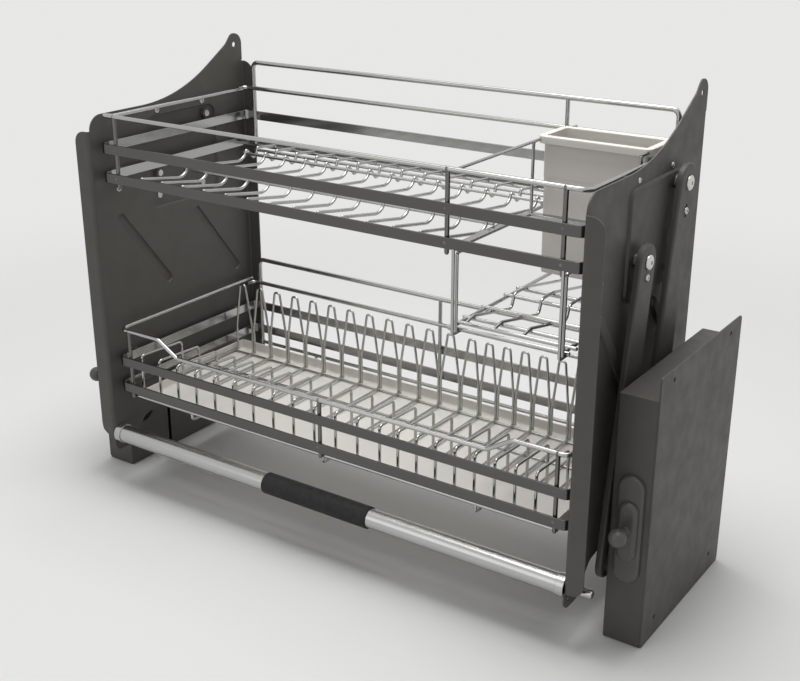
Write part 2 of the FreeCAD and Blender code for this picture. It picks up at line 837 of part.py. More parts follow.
def pad_pressing():
    corner = pad_corner
    outer = rectangle(pad_front_y, pad_rear_y, pad_low_z, pad_top_z, corner)
    inset = panel_sheet
    inner = rectangle(pad_front_y + inset, pad_rear_y - inset, pad_low_z + inset, pad_top_z - inset,
                      corner - inset)
    return pressing(outer, inner, pad_height)


def rib_pressing(start, end):
    return pressing(capsule(start, end, rib_width), capsule(start, end, rib_width - 2 * panel_sheet),
                    rib_height)


def rib_lines():
    """The (y, z) ends of the slanting ribs, which run down and back from the pivots."""
    return (((-156, 341), (-84, 247)), ((-26, 322), (44, 230)))


def panel_screw_places():
    """The (y, z) places of the bright screws on the panels' inner faces."""
    return ((-85, 461), (-6, 461), (-156, 378), (-87, 355), (-9, 356))


def sheet_inner_x(place):
    """The sheet's inner face where a screw goes through: further out inside the pad."""
    inside_y = pad_front_y < place[0] < pad_rear_y
    inside_z = pad_low_z < place[1] < pad_top_z
    return pad_inner_x() if inside_y and inside_z else panel_inner_x


def side_panel():
    """One pressed panel, with its flanges, relief and holes."""
    body = sheet_x(panel_outline(), panel_inner_x, panel_outer_x)
    body = fused([body, front_flange(), rear_flange()])
    pressings = [pad_pressing()] + [rib_pressing(a, b) for a, b in rib_lines()]
    body = fused([body] + [outer for outer, _ in pressings])
    for _, inner in pressings:
        body = body.cut(inner)
    outside = pad_outer_x() + 2
    inside = panel_inner_x - 2
    for place in (front_upper, rear_upper):
        body = body.cut(x_rod(inside, outside, place, bolt_radius + press_gap))
    for place in panel_screw_places():
        body = body.cut(x_rod(inside, outside, place, panel_screw_radius + press_gap))
    handle = (handle_y, handle_z)
    body = body.cut(x_rod(inside, panel_outer_x + 2, handle, pin_radius + press_gap))
    spare = (handle_y, handle_z - handle_hole_drop)
    body = body.cut(x_rod(inside, panel_outer_x + 2, spare, handle_hole_radius))
    return body.cut(x_rod(inside, outside, (ear_y, ear_z), ear_hole_radius))


def panel_screw(place):
    """A screw from inside the panel, with its riveted end outside."""
    face = sheet_inner_x(place)
    back = face + panel_sheet
    head = x_rod(face - panel_screw_head_height, face, place, panel_screw_head)
    shank = x_rod(face, back, place, panel_screw_radius)
    tail = x_rod(back, back + 1.5, place, panel_screw_radius * 1.4)
    return fused([head, shank, tail])


# Handle

def handle_tube():
    """The cross tube between the two panels."""
    place = (handle_y, handle_z)
    tube = x_rod(-panel_inner_x, panel_inner_x, place, tube_radius)
    return tube.cut(x_rod(-panel_inner_x - 1, panel_inner_x + 1, place, tube_radius - tube_wall))


def handle_grip():
    """The soft sleeve in the middle of the tube."""
    half = grip_length / 2
    place = (handle_y, handle_z)
    sleeve = x_rod(-half, half, place, grip_radius)
    ends = [e for e in sleeve.Edges if abs(abs(e.CenterOfMass.x) - half) < 0.01
            and e.BoundBox.XLength < 0.01]
    sleeve = sleeve.makeFillet(0.9, ends)
    return sleeve.cut(x_rod(-half - 1, half + 1, place, tube_radius + press_gap))


def handle_ferrule():
    """The ring that seats the tube's end on the panel."""
    return x_ring(panel_inner_x - ferrule_length, panel_inner_x, (handle_y, handle_z),
                  ferrule_radius, tube_radius + press_gap)


def handle_plug():
    """The threaded plug in the tube's end."""
    return x_ring(panel_inner_x - plug_length, panel_inner_x, (handle_y, handle_z),
                  tube_radius - tube_wall - running_fit, pin_radius + press_gap)


def handle_pin():
    """The bright pin that holds the tube's end and stands out of the panel."""
    place = (handle_y, handle_z)
    shank = x_rod(panel_inner_x - plug_length, panel_outer_x + pin_reach, place, pin_radius)
    collar = x_rod(panel_outer_x, panel_outer_x + pin_collar_height, place, pin_collar_radius)
    end = panel_outer_x + pin_reach
    rim = [e for e in shank.Edges if abs(e.CenterOfMass.x - end) < 0.01 and e.BoundBox.XLength < 0.01]
    return fused([shank.makeFillet(1.0, rim), collar])


# Baskets

def band_ring(top):
    """One flat band round a basket."""
    low = top - band_height
    outer = rectangle(-band_outer_x, band_outer_x, band_front_y, band_rear_y, band_corner)
    inner = rectangle(-band_inner_x, band_inner_x, band_front_inner_y, band_rear_inner_y,
                      band_corner - band_thickness)
    return sheet_z(outer, low, top).cut(sheet_z(inner, low - 1, top + 1))


def front_bands(tops):
    """The bands' front runs with their rounded corners."""
    y1 = band_front_y + band_corner
    keep = block(-half_width, half_width, band_front_y - 1, y1, min(tops) - 99, max(tops) + 9)
    return [band_ring(top).common(keep) for top in tops]


def rear_bands(tops):
    y0 = band_rear_y - band_corner
    keep = block(-half_width, half_width, y0, band_rear_y + 1, min(tops) - 99, max(tops) + 9)
    return [band_ring(top).common(keep) for top in tops]


def side_rails(tops, wire_z):
    """The right side's straight bands, its top wire and the bosses that meet the panel."""
    y0 = band_front_y + band_corner
    y1 = band_rear_y - band_corner
    rails = []
    for top in tops:
        band = block(band_inner_x, band_outer_x, y0, y1, top - band_height, top)
        middle = top - band_height / 2
        bosses = []
        for y in (y0 + 26, y1 - 26):
            bosses.append(x_rod(band_outer_x - 1, panel_inner_x, (y, middle), band_height / 2 - weld))
        rails.append(fused([band] + bosses))
    wire_front = front_wire_y + frame_wire + touch
    wire_rear = rear_wire_y - weld - rail_wire - touch
    rails.append(rod((side_wire_x, wire_front, wire_z), (side_wire_x, wire_rear, wire_z), frame_wire))
    return Part.Compound(rails)


def upright(x, y, z0, z1, radius=frame_wire):
    return rod((x, y, z0), (x, y, z1), radius)


def upper_front():
    """Upper basket's front: top wire, bands and three uprights behind them."""
    wire = rod((-band_outer_x, front_wire_y, upper_wire_z), (band_outer_x, front_wire_y, upper_wire_z),
               frame_wire)
    low = min(upper_band_tops) - band_height - upright_end
    outer = band_inner_x - 20
    divider_upright = divider_x - 12
    ups = [upright(x, front_wire_y + weld, low, upper_wire_z, frame_wire - 0.1)
           for x in (-outer, divider_upright, outer)]
    return fused([wire] + front_bands(upper_band_tops) + ups)


def rear_frame(tops, rail_z, second_z, half, posts, base_z=None):
    """A basket's rear: bands, a second rail, a raised rail with bent-down ends and a base rod."""
    low = base_z or min(tops) - band_height + 1.5
    rail = bent_wire([(-half, rear_wire_y, low), (-half, rear_wire_y, rail_z),
                      (half, rear_wire_y, rail_z), (half, rear_wire_y, low)], rail_bend, rail_wire)
    reach = side_wire_x + frame_wire
    second = rod((-reach, rear_wire_y - weld, second_z), (reach, rear_wire_y - weld, second_z),
                 rail_wire - 0.2)
    ups = [upright(x, rear_wire_y - 0.2, low, rail_z - weld) for x in posts]
    if base_z:
        ups.append(x_rod(-half - rail_wire, half + rail_wire, (rear_wire_y, base_z), frame_wire))
    return fused([rail, second] + rear_bands(tops) + ups)


def bowl_wire_xs():
    """Where the bowl wires stand across the upper basket, left of the divider."""
    first = -band_inner_x + bowl_first_inset
    count = int((divider_x - 8 - first) / bowl_pitch) + 1
    return [first + bowl_pitch * i for i in range(count)]


def floor_end_ys():
    """The first and last cross rods lie just behind the uprights and in front of the posts."""
    front = front_wire_y + weld + frame_wire + touch + floor_rod
    rear = rear_wire_y - rail_wire - touch - floor_rod
    return front, rear


def bowl_line(x):
    """One bowl wire, which falls gently backwards and steps up over each ridge's cross rod."""
    front, rear = floor_end_ys()
    path = [(x, front - 1, bowl_ridge_z)]
    for y in bowl_ridges:
        path += [(x, y - bowl_step, bowl_dip_z), (x, y, bowl_ridge_z)]
    return bent_wire(path + [(x, rear + 1, bowl_ridge_z - 4)], bowl_bend, bowl_wire)


def upper_floor():
    """Upper basket's floor: the bowl wires welded on cross rods."""
    rods = []
    front, rear = floor_end_ys()
    drop = bowl_wire + floor_rod - weld
    end_x = divider_rail_x() - floor_rod - touch
    for y, z in ((front, bowl_ridge_z), (rear, bowl_ridge_z - 4)):
        rods.append(x_rod(-band_inner_x + touch, end_x, (y, z - drop), floor_rod))
    first = bowl_wire_xs()[0] - 2 * floor_rod
    for y in bowl_ridges:
        rods.append(x_rod(first, end_x, (y + 0.5, bowl_ridge_z - drop), floor_rod))
    return fused([bowl_line(x) for x in bowl_wire_xs()] + rods)


def hanger_z():
    """The rods under the cutlery box's rim."""
    return box_rim_top - box_wall - side_play - hanger_wire


def divider_rail_x():
    """The floor-level rod that ends the cross rods, clear of the cutlery box."""
    return box_rim_left + box_rim_overhang - 4 - floor_rod


def hanger_xs():
    """The two rods lie between the rim's skirt and the box's body."""
    middle = (box_rim_overhang + box_wall) / 2
    return box_rim_left + middle, box_rim_right - middle


def upper_divider():
    """The rods that part off and carry the cutlery box, and the bars at floor level."""
    left, right = hanger_xs()
    z = hanger_z()
    front = front_wire_y + frame_wire + touch
    rear = rear_wire_y - rail_wire - touch
    bar_top = floor_bar_top_z
    bar_low = bar_top - 3
    cross_front = box_rim_front - 20
    cross_rear = cross_front + 9
    post_y = cross_rear - hanger_wire
    rods = [rod((left, front, z), (left, rear, z), hanger_wire)]
    rods.append(rod((right, post_y - hanger_wire, z), (right, rear, z), hanger_wire))
    for x in (left, right):
        rods.append(upright(x, post_y, bar_top, z - hanger_wire - touch, hanger_wire))
    rail = divider_rail_x()
    rods.append(rod((rail, cross_rear + touch, bar_top - floor_rod),
                    (rail, rear, bar_top - floor_rod), floor_rod))
    first = floor_end_ys()[0] - floor_rod
    floor_bar = block(rail - floor_rod, rail - floor_rod + 9, first, cross_front + 1, bar_low, bar_top)
    cross_bar = block(rail - floor_rod, band_inner_x - touch, cross_front, cross_rear, bar_low, bar_top)
    return Part.Compound(rods + [fused([floor_bar, cross_bar])])


def cutlery_box():
    """The plastic cutlery box, hung by its rim."""
    x0 = box_rim_left + box_rim_overhang
    x1 = box_rim_right - box_rim_overhang
    y0 = box_rim_front + box_rim_overhang
    y1 = box_rim_rear - box_rim_overhang
    w = box_wall
    top = box_rim_top
    body = sheet_z(rectangle(x0, x1, y0, y1, 6), box_base_z, top)
    plate = sheet_z(rectangle(box_rim_left, box_rim_right, box_rim_front, box_rim_rear, 9), top - w, top)
    skirt = sheet_z(rectangle(box_rim_left, box_rim_right, box_rim_front, box_rim_rear, 9),
                    top - box_rim_height, top)
    skirt = skirt.cut(sheet_z(rectangle(box_rim_left + w, box_rim_right - w, box_rim_front + w,
                                        box_rim_rear - w, 7), top - box_rim_height - 1, top + 1))
    shape = fused([body, plate, skirt])
    inside = sheet_z(rectangle(x0 + w, x1 - w, y0 + w, y1 - w, 4), box_base_z + w, top + 1)
    shape = shape.cut(inside)
    notch = hanger_wire + 0.4
    corner = 9.0
    for x in hanger_xs():
        for y0, y1 in ((box_rim_front - 1, box_rim_front + corner),
                       (box_rim_rear - corner, box_rim_rear + 1)):
            way_in = block(x - notch, x + notch, y0, y1, top - box_rim_height - 1, top - w)
            shape = shape.cut(way_in)
    for i in range(4):
        for j in range(2):
            x = x0 + (x1 - x0) * (i + 0.5) / 4
            y = y0 + (y1 - y0) * (j + 0.5) / 2
            hole = rod((x, y, box_base_z - 1), (x, y, box_base_z + w + 1), box_drain_radius)
            shape = shape.cut(hole)
    return shape


def small_wave(x):
    """One waved wire: on the cross rods at its crests, and sagging gently between them."""
    crest = small_rack_z + small_rod + bowl_wire - weld
    dip = small_rack_z - small_sag
    run = 2 * bowl_bend
    path = [(x, small_wave_start - 1, small_rack_z),
            (x, small_wave_crest, crest),
            (x, small_wave_ridge - bowl_step, dip),
            (x, small_wave_ridge, crest),
            (x, small_wave_end, crest),
            (x, small_rack_rear - bowl_step - 2, dip),
            (x, small_rack_rear - 2, crest),
            (x, small_rack_rear + run / 2, crest)]
    return bent_wire(path, bowl_bend - 1.5, bowl_wire)


def small_rack():
    """The small bowl rack: a wire frame with three waved wires on it."""
    z = small_rack_z
    x0 = small_rack_left
    x1 = small_rack_right
    under = z - small_rod
    pieces = [rod((x, small_rack_front, under), (x, small_rack_rear, under), small_rod) for x in (x0, x1)]
    ends = (x0 - small_rod_ends[0], x1 + small_rod_ends[1])
    for y in (small_rack_front, small_wave_start, small_wave_crest, small_low_rod, small_wave_ridge,
              small_wave_end, small_rack_rear):
        pieces.append(x_rod(ends[0], ends[1], (y, z), small_rod - 0.1))
    count = int((x1 - x0) / small_wave_pitch)
    for i in range(count):
        pieces.append(small_wave(x0 + small_wave_pitch * (i + 0.28)))
    return fused(pieces)


def small_rack_hangers():
    """The wires that hang the small rack from the upper basket's front and rear bands."""
    foot = small_rack_z - small_rod + 0.1 - bowl_wire - touch
    top = min(upper_band_tops) - band_height - touch
    hangers = []
    front_y = band_front_y + band_thickness / 2
    rear_y = band_rear_y - band_thickness / 2
    second_y = small_rack_front - small_rod - bowl_wire - touch
    right = small_rack_right + small_rod + bowl_wire + 2 * touch
    for x, rear_x in ((small_rack_left + small_hanger_inset, small_rack_left + 1.6 * small_hanger_inset),
                      (right, right)):
        first = bent_wire([(x, front_y, top), (x, front_y, foot), (x, small_rack_front + 4, foot)],
                          3.0, bowl_wire)
        second = bent_wire([(x, second_y, foot), (x, second_y, small_hanger_top),
                            (x, second_y + 9, small_hanger_top)], 3.0, bowl_wire)
        hangers.append(fused([first, second]))
        hangers.append(bent_wire([(rear_x, rear_y, top), (rear_x, rear_y, foot),
                                  (rear_x, small_rack_rear - 4, foot)], 3.0, bowl_wire))
    return Part.Compound(hangers)


def lower_front():
    """Lower basket's front: dipped top wire, bands, base rod and three uprights."""
    half = lower_dip_half
    out = half + lower_slope
    y = front_wire_y
    top = [(-band_outer_x, y, lower_wire_z), (-out, y, lower_wire_z), (-half, y, lower_dip_z),
           (half, y, lower_dip_z), (out, y, lower_wire_z), (band_outer_x, y, lower_wire_z)]
    wire = bent_wire(top, 12.0, frame_wire)
    outer = band_inner_x - 14.5
    base_y = hoop_front_y - hoop_wire - loose_gap - frame_wire
    base = x_rod(-outer, outer, (base_y, lower_base_rod_z), frame_wire)
    ups = [upright(x, y + weld, lower_base_rod_z, z, frame_wire - 0.1)
           for x, z in ((-outer, lower_wire_z), (0, lower_dip_z), (outer, lower_wire_z))]
    return fused([wire, base] + front_bands(lower_band_tops) + ups)


# Plate holders and tray

def hoop_xs():
    """Hoops at the plate pitch from the left, then at the saucer pitch to the right."""
    first = -band_inner_x + holder_margin - 3
    limit = band_inner_x - holder_margin - 12
    xs = [first + plate_pitch * i for i in range(plate_slots + 1)]
    while xs[-1] + saucer_pitch < limit:
        xs.append(xs[-1] + saucer_pitch)
    return xs


def run_xs():
    """The floor wires lie half way between the pegs, and outside the first and last."""
    xs = hoop_xs()
    gaps = [(a + b) / 2 for a, b in zip(xs, xs[1:])]
    return [xs[0] - plate_pitch / 2] + gaps + [xs[-1] + saucer_pitch / 2]


def cross_wire_z():
    """The cross wires lie under the floor wires, welded to them."""
    return tray_floor_z + loose_gap + cross_wire


def hoop(x):
    """One low hoop that holds a plate's front edge."""
    z0 = lower_base_rod_z - frame_wire
    z1 = cross_wire_z() + cross_wire + touch
    path = [(x, hoop_front_y, z0), (x, hoop_front_y, hoop_top_z), (x, hoop_rear_y, hoop_rear_top_z),
            (x, hoop_rear_y, z1)]
    return bent_wire(path, hoop_bend, hoop_wire)


def peg(x, left, right):
    """One tall narrow peg, whose legs spread, then stand on the floor wires beside it."""
    foot = run_z + peg_wire + touch
    top = peg_top_z - peg_wire
    half = peg_top_width / 2
    clear = peg_wire + 0.2
    path = [(left + clear, peg_y, foot - 5), (left + clear, peg_y, peg_gather_z),
            (x - half, peg_y, top), (x + half, peg_y, top),
            (right - clear, peg_y, peg_gather_z), (right - clear, peg_y, foot - 5)]
    shape = bent_wire(path, 3.4, peg_wire)
    under = block(left - 9, right + 9, peg_y - 9, peg_y + 9, foot - 9, foot)
    return shape.cut(under)


def plate_floor():
    """The grid under the plates: a wire between each two pegs, on three cross wires."""
    y0 = hoop_rear_y - peg_wire
    y1 = peg_y + peg_wire
    xs = run_xs()
    runs = [rod((x, y0, run_z), (x, y1, run_z), peg_wire) for x in xs]
    z = cross_wire_z()
    ends = (xs[0] - 1, xs[-1] + 1)
    crosses = [x_rod(ends[0], ends[1], (y, z), cross_wire) for y in (hoop_rear_y, -40.0, peg_y - 3)]
    return fused(runs + crosses)


def tray_half_width():
    """The tray lifts out between the side wires."""
    return side_wire_x - frame_wire - loose_gap


def tray_plan(inset, z0, z1):
    """The tray's stepped outline, as a block between two heights."""
    wide = tray_half_width() - inset
    narrow = tray_front_half - inset
    corner = tray_corner - inset
    rear = sheet_z(rectangle(-wide, wide, tray_step_y + inset, tray_rear_y - inset, corner), z0, z1)
    front = sheet_z(rectangle(-narrow, narrow, tray_front_y + inset, tray_rear_y - inset, corner), z0, z1)
    return fused([rear, front])


def drip_tray():
    """The plastic tray under the plates."""
    outer = tray_plan(0, tray_floor_z - tray_wall, tray_floor_z + tray_height)
    return outer.cut(tray_plan(tray_wall, tray_floor_z, tray_floor_z + tray_height + 1))


def tray_supports():
    """The bent wires that carry the tray, from the front base rod to under the rear one."""
    wires = []
    low = tray_floor_z - tray_wall - loose_gap - support_wire
    z = lower_base_rod_z - frame_wire - touch
    front = hoop_front_y - hoop_wire - loose_gap - frame_wire
    for x in (-support_x, 0, support_x):
        path = [(x, front, z), (x, front, low), (x, rear_wire_y + support_wire, low)]
        wires.append(bent_wire(path, 4.0, support_wire))
    return Part.Compound(wires)


def check_hoop_gaps():
    """Prints how many plates and saucers the holders take."""
    xs = hoop_xs()
    print("hoops", len(xs), "from", round(xs[0], 1), "to", round(xs[-1], 1))


os.makedirs("parts", exist_ok=True)

# Fixed boxes
write_sides("mounting_plate", mounting_plate())
write_sides("box_cover", box_cover())
write("cover_screws", both(*cover_screws()))
write("lower_pivot_bushes", both(lower_bush(front_lower), lower_bush(rear_lower)))
write("bearing_blocks", both(bearing_block()))
write("damper_housings", both(damper_housing()))
write_sides("lift_spring", spring())
write_sides("adjuster_bezel", adjuster_bezel())

# Adjusters
write_sides("adjuster_slider", adjuster_slider())
write_sides("adjuster_knob", adjuster_knob())

# Front arms
write_sides("front_arm", front_arm())
write("front_pivot_shafts", both(lower_shaft(front_lower, plate_inner_x - 1)))
front_screw_place = on_arm(front_lower, arm_length - front_screw_drop)
write("front_arm_screws", both(arm_screw(front_screw_place)))

# Rear arms
write_sides("rear_arm", rear_arm())
write("rear_pivot_shafts", both(lower_shaft(rear_lower, plate_inner_x - side_play)))
rear_screw_place = on_arm(rear_lower, arm_length - arm_slot_drop)
write("rear_arm_screws", both(arm_screw(rear_screw_place)))
write("spring_cranks", both(crank()))
write("damper_rotors", both(damper_rotor()))

# Rack's frame
write_sides("side_panel", side_panel())
write("panel_screws", both(*[panel_screw(p) for p in panel_screw_places()]))
write("upper_pivot_bolts", both(upper_bolt(front_upper), upper_bolt(rear_upper)))
write("upper_pivot_spacers", both(upper_spacer(front_upper), upper_spacer(rear_upper)))
write("upper_pivot_nuts", both(upper_nut(front_upper), upper_nut(rear_upper)))
write("handle_tube", handle_tube())
write("handle_grip", handle_grip())
write("handle_ferrules", both(handle_ferrule()))
write("handle_plugs", both(handle_plug()))
write("handle_pins", both(handle_pin()))

# Upper basket
write("upper_basket_front", upper_front())
write("upper_basket_rear", rear_frame(upper_band_tops, upper_rail_z, upper_second_rail_z,
                                      upper_rail_half, (divider_x - 13,)))
write_sides("upper_basket_side", side_rails(upper_band_tops, upper_side_wire_z))
write("upper_basket_floor", upper_floor())
write("upper_basket_divider", upper_divider())
write("cutlery_box", cutlery_box())
write("small_rack_grid", small_rack())
write("small_rack_hangers", small_rack_hangers())

# Lower basket
write("lower_basket_front", lower_front())
write("lower_basket_rear", rear_frame(lower_band_tops, lower_rail_z, lower_second_rail_z,
                                      lower_rail_half, (0,), lower_rear_rod_z))
write_sides("lower_basket_side", side_rails(lower_band_tops, lower_wire_z + 1))
runs = run_xs()
write("plate_hoops", Part.Compound([hoop(x) for x in hoop_xs()]))
write("plate_pegs", Part.Compound([peg(x, a, b) for x, a, b in zip(hoop_xs(), runs, runs[1:])]))
write("plate_floor_grid", plate_floor())
write("tray_supports", tray_supports())
write("drip_tray", drip_tray())
check_hoop_gaps()
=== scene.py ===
"""Looks of a pull-down cabinet dish rack, built round its packed construction model.

Sizes are in millimetres in the construction's own frame: X to the right, Y to the back with 0 at
the rear arms' upper pivots, Z up from the side boxes' underside. Space turns them into metres.
"""

import logging
import math
from dataclasses import dataclass, field
from enum import Enum
from typing import Callable, Iterable, Sequence

import bmesh
import bpy
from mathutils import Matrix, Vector
from mathutils.geometry import tessellate_polygon


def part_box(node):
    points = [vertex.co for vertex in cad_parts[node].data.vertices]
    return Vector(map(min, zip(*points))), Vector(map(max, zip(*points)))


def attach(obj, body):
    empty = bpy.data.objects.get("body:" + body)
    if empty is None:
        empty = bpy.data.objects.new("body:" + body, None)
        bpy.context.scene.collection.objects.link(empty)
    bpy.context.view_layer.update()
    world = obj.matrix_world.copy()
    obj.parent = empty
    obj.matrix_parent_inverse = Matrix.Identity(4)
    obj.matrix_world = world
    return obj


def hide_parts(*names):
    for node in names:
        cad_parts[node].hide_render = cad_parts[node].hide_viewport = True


Point2 = tuple[float, float]
Point3 = tuple[float, float, float]
Outline = Callable[[float], list[Point2]]  # a closed line, moved in by the given inset
Profile = Iterable[Sequence[float]]        # the points of one ring or row
Mesh = bpy.types.Mesh
Socket = bpy.types.NodeSocket

LOG = logging.getLogger("dish_rack")
MM = 0.001
PANEL_REAR_Y = 75.0
PANEL_X = 315.5  # the panels' inner faces
SHEET = 1.5      # the pressed sheet of covers, arms and panels
ARM_X = 334.0    # the arms' outer faces
SEED = 7         # of the weld beads' sizes

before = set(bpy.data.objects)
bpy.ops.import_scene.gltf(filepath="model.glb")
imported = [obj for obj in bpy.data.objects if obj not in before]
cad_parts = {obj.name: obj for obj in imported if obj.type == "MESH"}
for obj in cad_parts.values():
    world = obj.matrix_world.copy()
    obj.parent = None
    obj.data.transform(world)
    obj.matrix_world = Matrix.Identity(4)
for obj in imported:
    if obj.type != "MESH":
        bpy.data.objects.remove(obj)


class Side(Enum):
    """The two sides of the rack, as the sign of X."""

    RIGHT = 1
    LEFT = -1

    @property
    def word(self) -> str:
        """The side's name as the construction's nodes have it."""
        return self.name.lower()


class Space:
    """Turns the construction's millimetres into the frame's metres."""

    def __init__(self) -> None:
        """Reads how far the construction was moved back, from a panel's rear edge."""
        self.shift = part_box("side_panel_right")[1][1] / MM - PANEL_REAR_Y

    def at(self, point: Sequence[float]) -> Vector:
        """A point of the construction as a place in the frame."""
        return Vector((point[0] * MM, (point[1] + self.shift) * MM, point[2] * MM))


SPACE = Space()


# Node trees and finishes


class Nodes:
    """Adds nodes to a tree, each with its options and inputs in one call."""

    def __init__(self, tree: bpy.types.NodeTree) -> None:
        """Works on the given tree."""
        self.tree = tree

    def feed(self, socket: Socket, value: object) -> None:
        """Links an output to an input socket, or sets the socket's value."""
        if isinstance(value, Socket):
            self.tree.links.new(value, socket)
        else:
            socket.default_value = value

    def add(self, kind: str, *ordered: object, **given: object) -> bpy.types.Node:
        """Adds a node, sets its options and sets or links its inputs.

        Args:
            kind: the node's type.
            ordered: outputs or values for the first inputs, in their order.
            given: options in small letters with their values, and input names, with underscores
                for spaces, with an output or a value for each.

        Returns:
            The node.
        """
        made = self.tree.nodes.new(kind)
        for name, value in given.items():
            if name.islower():
                setattr(made, name, value)
        for socket, value in zip(made.inputs, ordered):
            self.feed(socket, value)
        for name, value in given.items():
            if not name.islower():
                self.feed(made.inputs[name.replace("_", " ")], value)
        return made

    def math(self, operation: str, a: object, b: object) -> Socket:
        """The output of a sum of two outputs or values."""
        return self.add("ShaderNodeMath", a, b, operation=operation).outputs[0]


class Grain(Enum):
    """How a finish's fine relief runs."""

    EVEN = (1.0, 1.0, 1.0)
    ALONG_X = (0.04, 1.0, 1.0)


@dataclass(frozen=True)
class Finish:
    """One surface finish, made of nodes that read Object coordinates.

    The colour wanders a little over the surface, the roughness with it, and a fine relief breaks
    the highlights.
    """

    name: str
    colour: tuple[float, float, float]
    roughness: float
    metallic: float = 0.0
    drift: float = 0.06
    drift_scale: float = 9.0
    rough_drift: float = 0.08
    relief: float = 0.05
    relief_scale: float = 900.0
    relief_depth: float = 0.0002
    grain: Grain = Grain.EVEN
    coat: float = 0.0
    coat_roughness: float = 0.1
    subsurface: float = 0.0

    def material(self) -> bpy.types.Material:
        """The finish's material, made the first time it is asked for."""
        made = bpy.data.materials.get(self.name)
        if made:
            return made
        made = bpy.data.materials.new(self.name)
        made.use_nodes = True
        nodes = Nodes(made.node_tree)
        place = nodes.add("ShaderNodeTexCoord").outputs["Object"]
        grained = nodes.add("ShaderNodeMapping", Vector=place, Scale=self.grain.value).outputs[0]
        smear = self._noise(nodes, grained, self.drift_scale * 6.0, 5.0)
        rough = nodes.add("ShaderNodeMapRange", Value=smear, From_Min=0.3, From_Max=0.7,
                          To_Min=max(0.02, self.roughness - self.rough_drift),
                          To_Max=min(1.0, self.roughness + self.rough_drift))
        fine = self._noise(nodes, grained, self.relief_scale, 2.0)
        bump = nodes.add("ShaderNodeBump", Strength=self.relief, Distance=self.relief_depth,
                         Height=fine)
        inputs = {"Base Color": self._colour(nodes, place), "Roughness": rough.outputs["Result"],
                  "Normal": bump.outputs["Normal"], "Metallic": self.metallic,
                  "Coat Weight": self.coat, "Coat Roughness": self.coat_roughness,
                  "Subsurface Weight": self.subsurface}
        if self.subsurface:
            inputs["Subsurface Scale"] = 0.004
        for name, value in inputs.items():
            nodes.feed(nodes.tree.nodes["Principled BSDF"].inputs[name], value)
        return made

    def _noise(self, nodes: Nodes, place: Socket, scale: float, detail: float) -> Socket:
        """A noise of a scale per metre, with its octaves, on the given coordinates."""
        return nodes.add("ShaderNodeTexNoise", Vector=place, Scale=scale,
                         Detail=detail).outputs["Fac"]

    def _colour(self, nodes: Nodes, place: Socket) -> Socket:
        """A colour that drifts between a shade darker and a shade lighter."""
        ramp = nodes.add("ShaderNodeValToRGB", Fac=self._noise(nodes, place, self.drift_scale, 4.0))
        for element, position, way in zip(ramp.color_ramp.elements, (0.3, 0.7), (-1.0, 1.0)):
            shade = 1.0 + way * self.drift
            element.position = position
            element.color = (*[min(1.0, linear(c) * shade) for c in self.colour], 1.0)
        return ramp.outputs["Color"]


def shown(name: str, data: bpy.types.ID) -> bpy.types.Object:
    """A new object in the scene."""
    made = bpy.data.objects.new(name, data)
    bpy.context.scene.collection.objects.link(made)
    return made


def linear(value: float) -> float:
    """A display colour value as a linear one."""
    return value / 12.92 if value <= 0.04045 else ((value + 0.055) / 1.055) ** 2.4


GREY_PAINT = Finish("grey_metallic_paint", (0.32, 0.308, 0.292), 0.55, metallic=0.1, drift=0.035,
                    relief=0.06, relief_scale=1400.0, coat=0.04, coat_roughness=0.5)
BRIGHT_WIRE = Finish("polished_wire", (0.70, 0.70, 0.69), 0.17, metallic=1.0, drift=0.05,
                     drift_scale=14.0, rough_drift=0.05, relief=0.04, relief_scale=500.0)
BRIGHT_BAND = Finish("polished_band", (0.66, 0.66, 0.65), 0.2, metallic=1.0, drift=0.04,
                     rough_drift=0.05, relief=0.02, relief_scale=600.0, grain=Grain.ALONG_X)
# Painted shade: a darker copy of the polished band, for the front bands' faces that look away from
# the lamps.
PAINTED_SHADE_BAND = Finish("shaded_band", (0.38, 0.375, 0.367), 0.22, metallic=1.0, drift=0.04,
                   rough_drift=0.05, relief=0.02, relief_scale=600.0, grain=Grain.ALONG_X)
# Painted shade: a darker copy of the polished wire, for the front uprights that stand in shade.
PAINTED_SHADE_WIRE = Finish("shaded_wire", (0.45, 0.445, 0.435), 0.2, metallic=1.0, drift=0.05,
                   drift_scale=14.0, rough_drift=0.05, relief=0.04, relief_scale=500.0)
BOLT_STEEL = Finish("bright_bolt_steel", (0.82, 0.81, 0.8), 0.22, metallic=1.0, drift=0.04)
STEEL = Finish("zinc_plated_steel", (0.74, 0.74, 0.73), 0.28, metallic=1.0, drift=0.08,
               drift_scale=60.0)
TUBE_METAL = Finish("satin_tube", (0.72, 0.72, 0.71), 0.24, metallic=1.0, drift=0.04,
                    relief=0.02, relief_scale=700.0, grain=Grain.ALONG_X)
GRIP_RUBBER = Finish("grip_rubber", (0.045, 0.044, 0.043), 0.7, drift=0.1, drift_scale=30.0,
                     relief=0.3, relief_scale=1300.0, relief_depth=0.0003)
GREY_PLASTIC = Finish("grey_moulding", (0.345, 0.335, 0.32), 0.45, drift=0.04, relief=0.2,
                      relief_scale=1500.0)
DARK_PLASTIC = Finish("dark_moulding", (0.11, 0.11, 0.11), 0.5, drift=0.1, relief=0.2,
                      relief_scale=1500.0)
WHITE_PLASTIC = Finish("white_moulding", (0.895, 0.885, 0.86), 0.38, drift=0.015, relief=0.08,
                       relief_scale=800.0, subsurface=0.1)
SPRING_STEEL = Finish("dark_spring_steel", (0.3, 0.3, 0.31), 0.35, metallic=1.0)


# Outlines in two coordinates


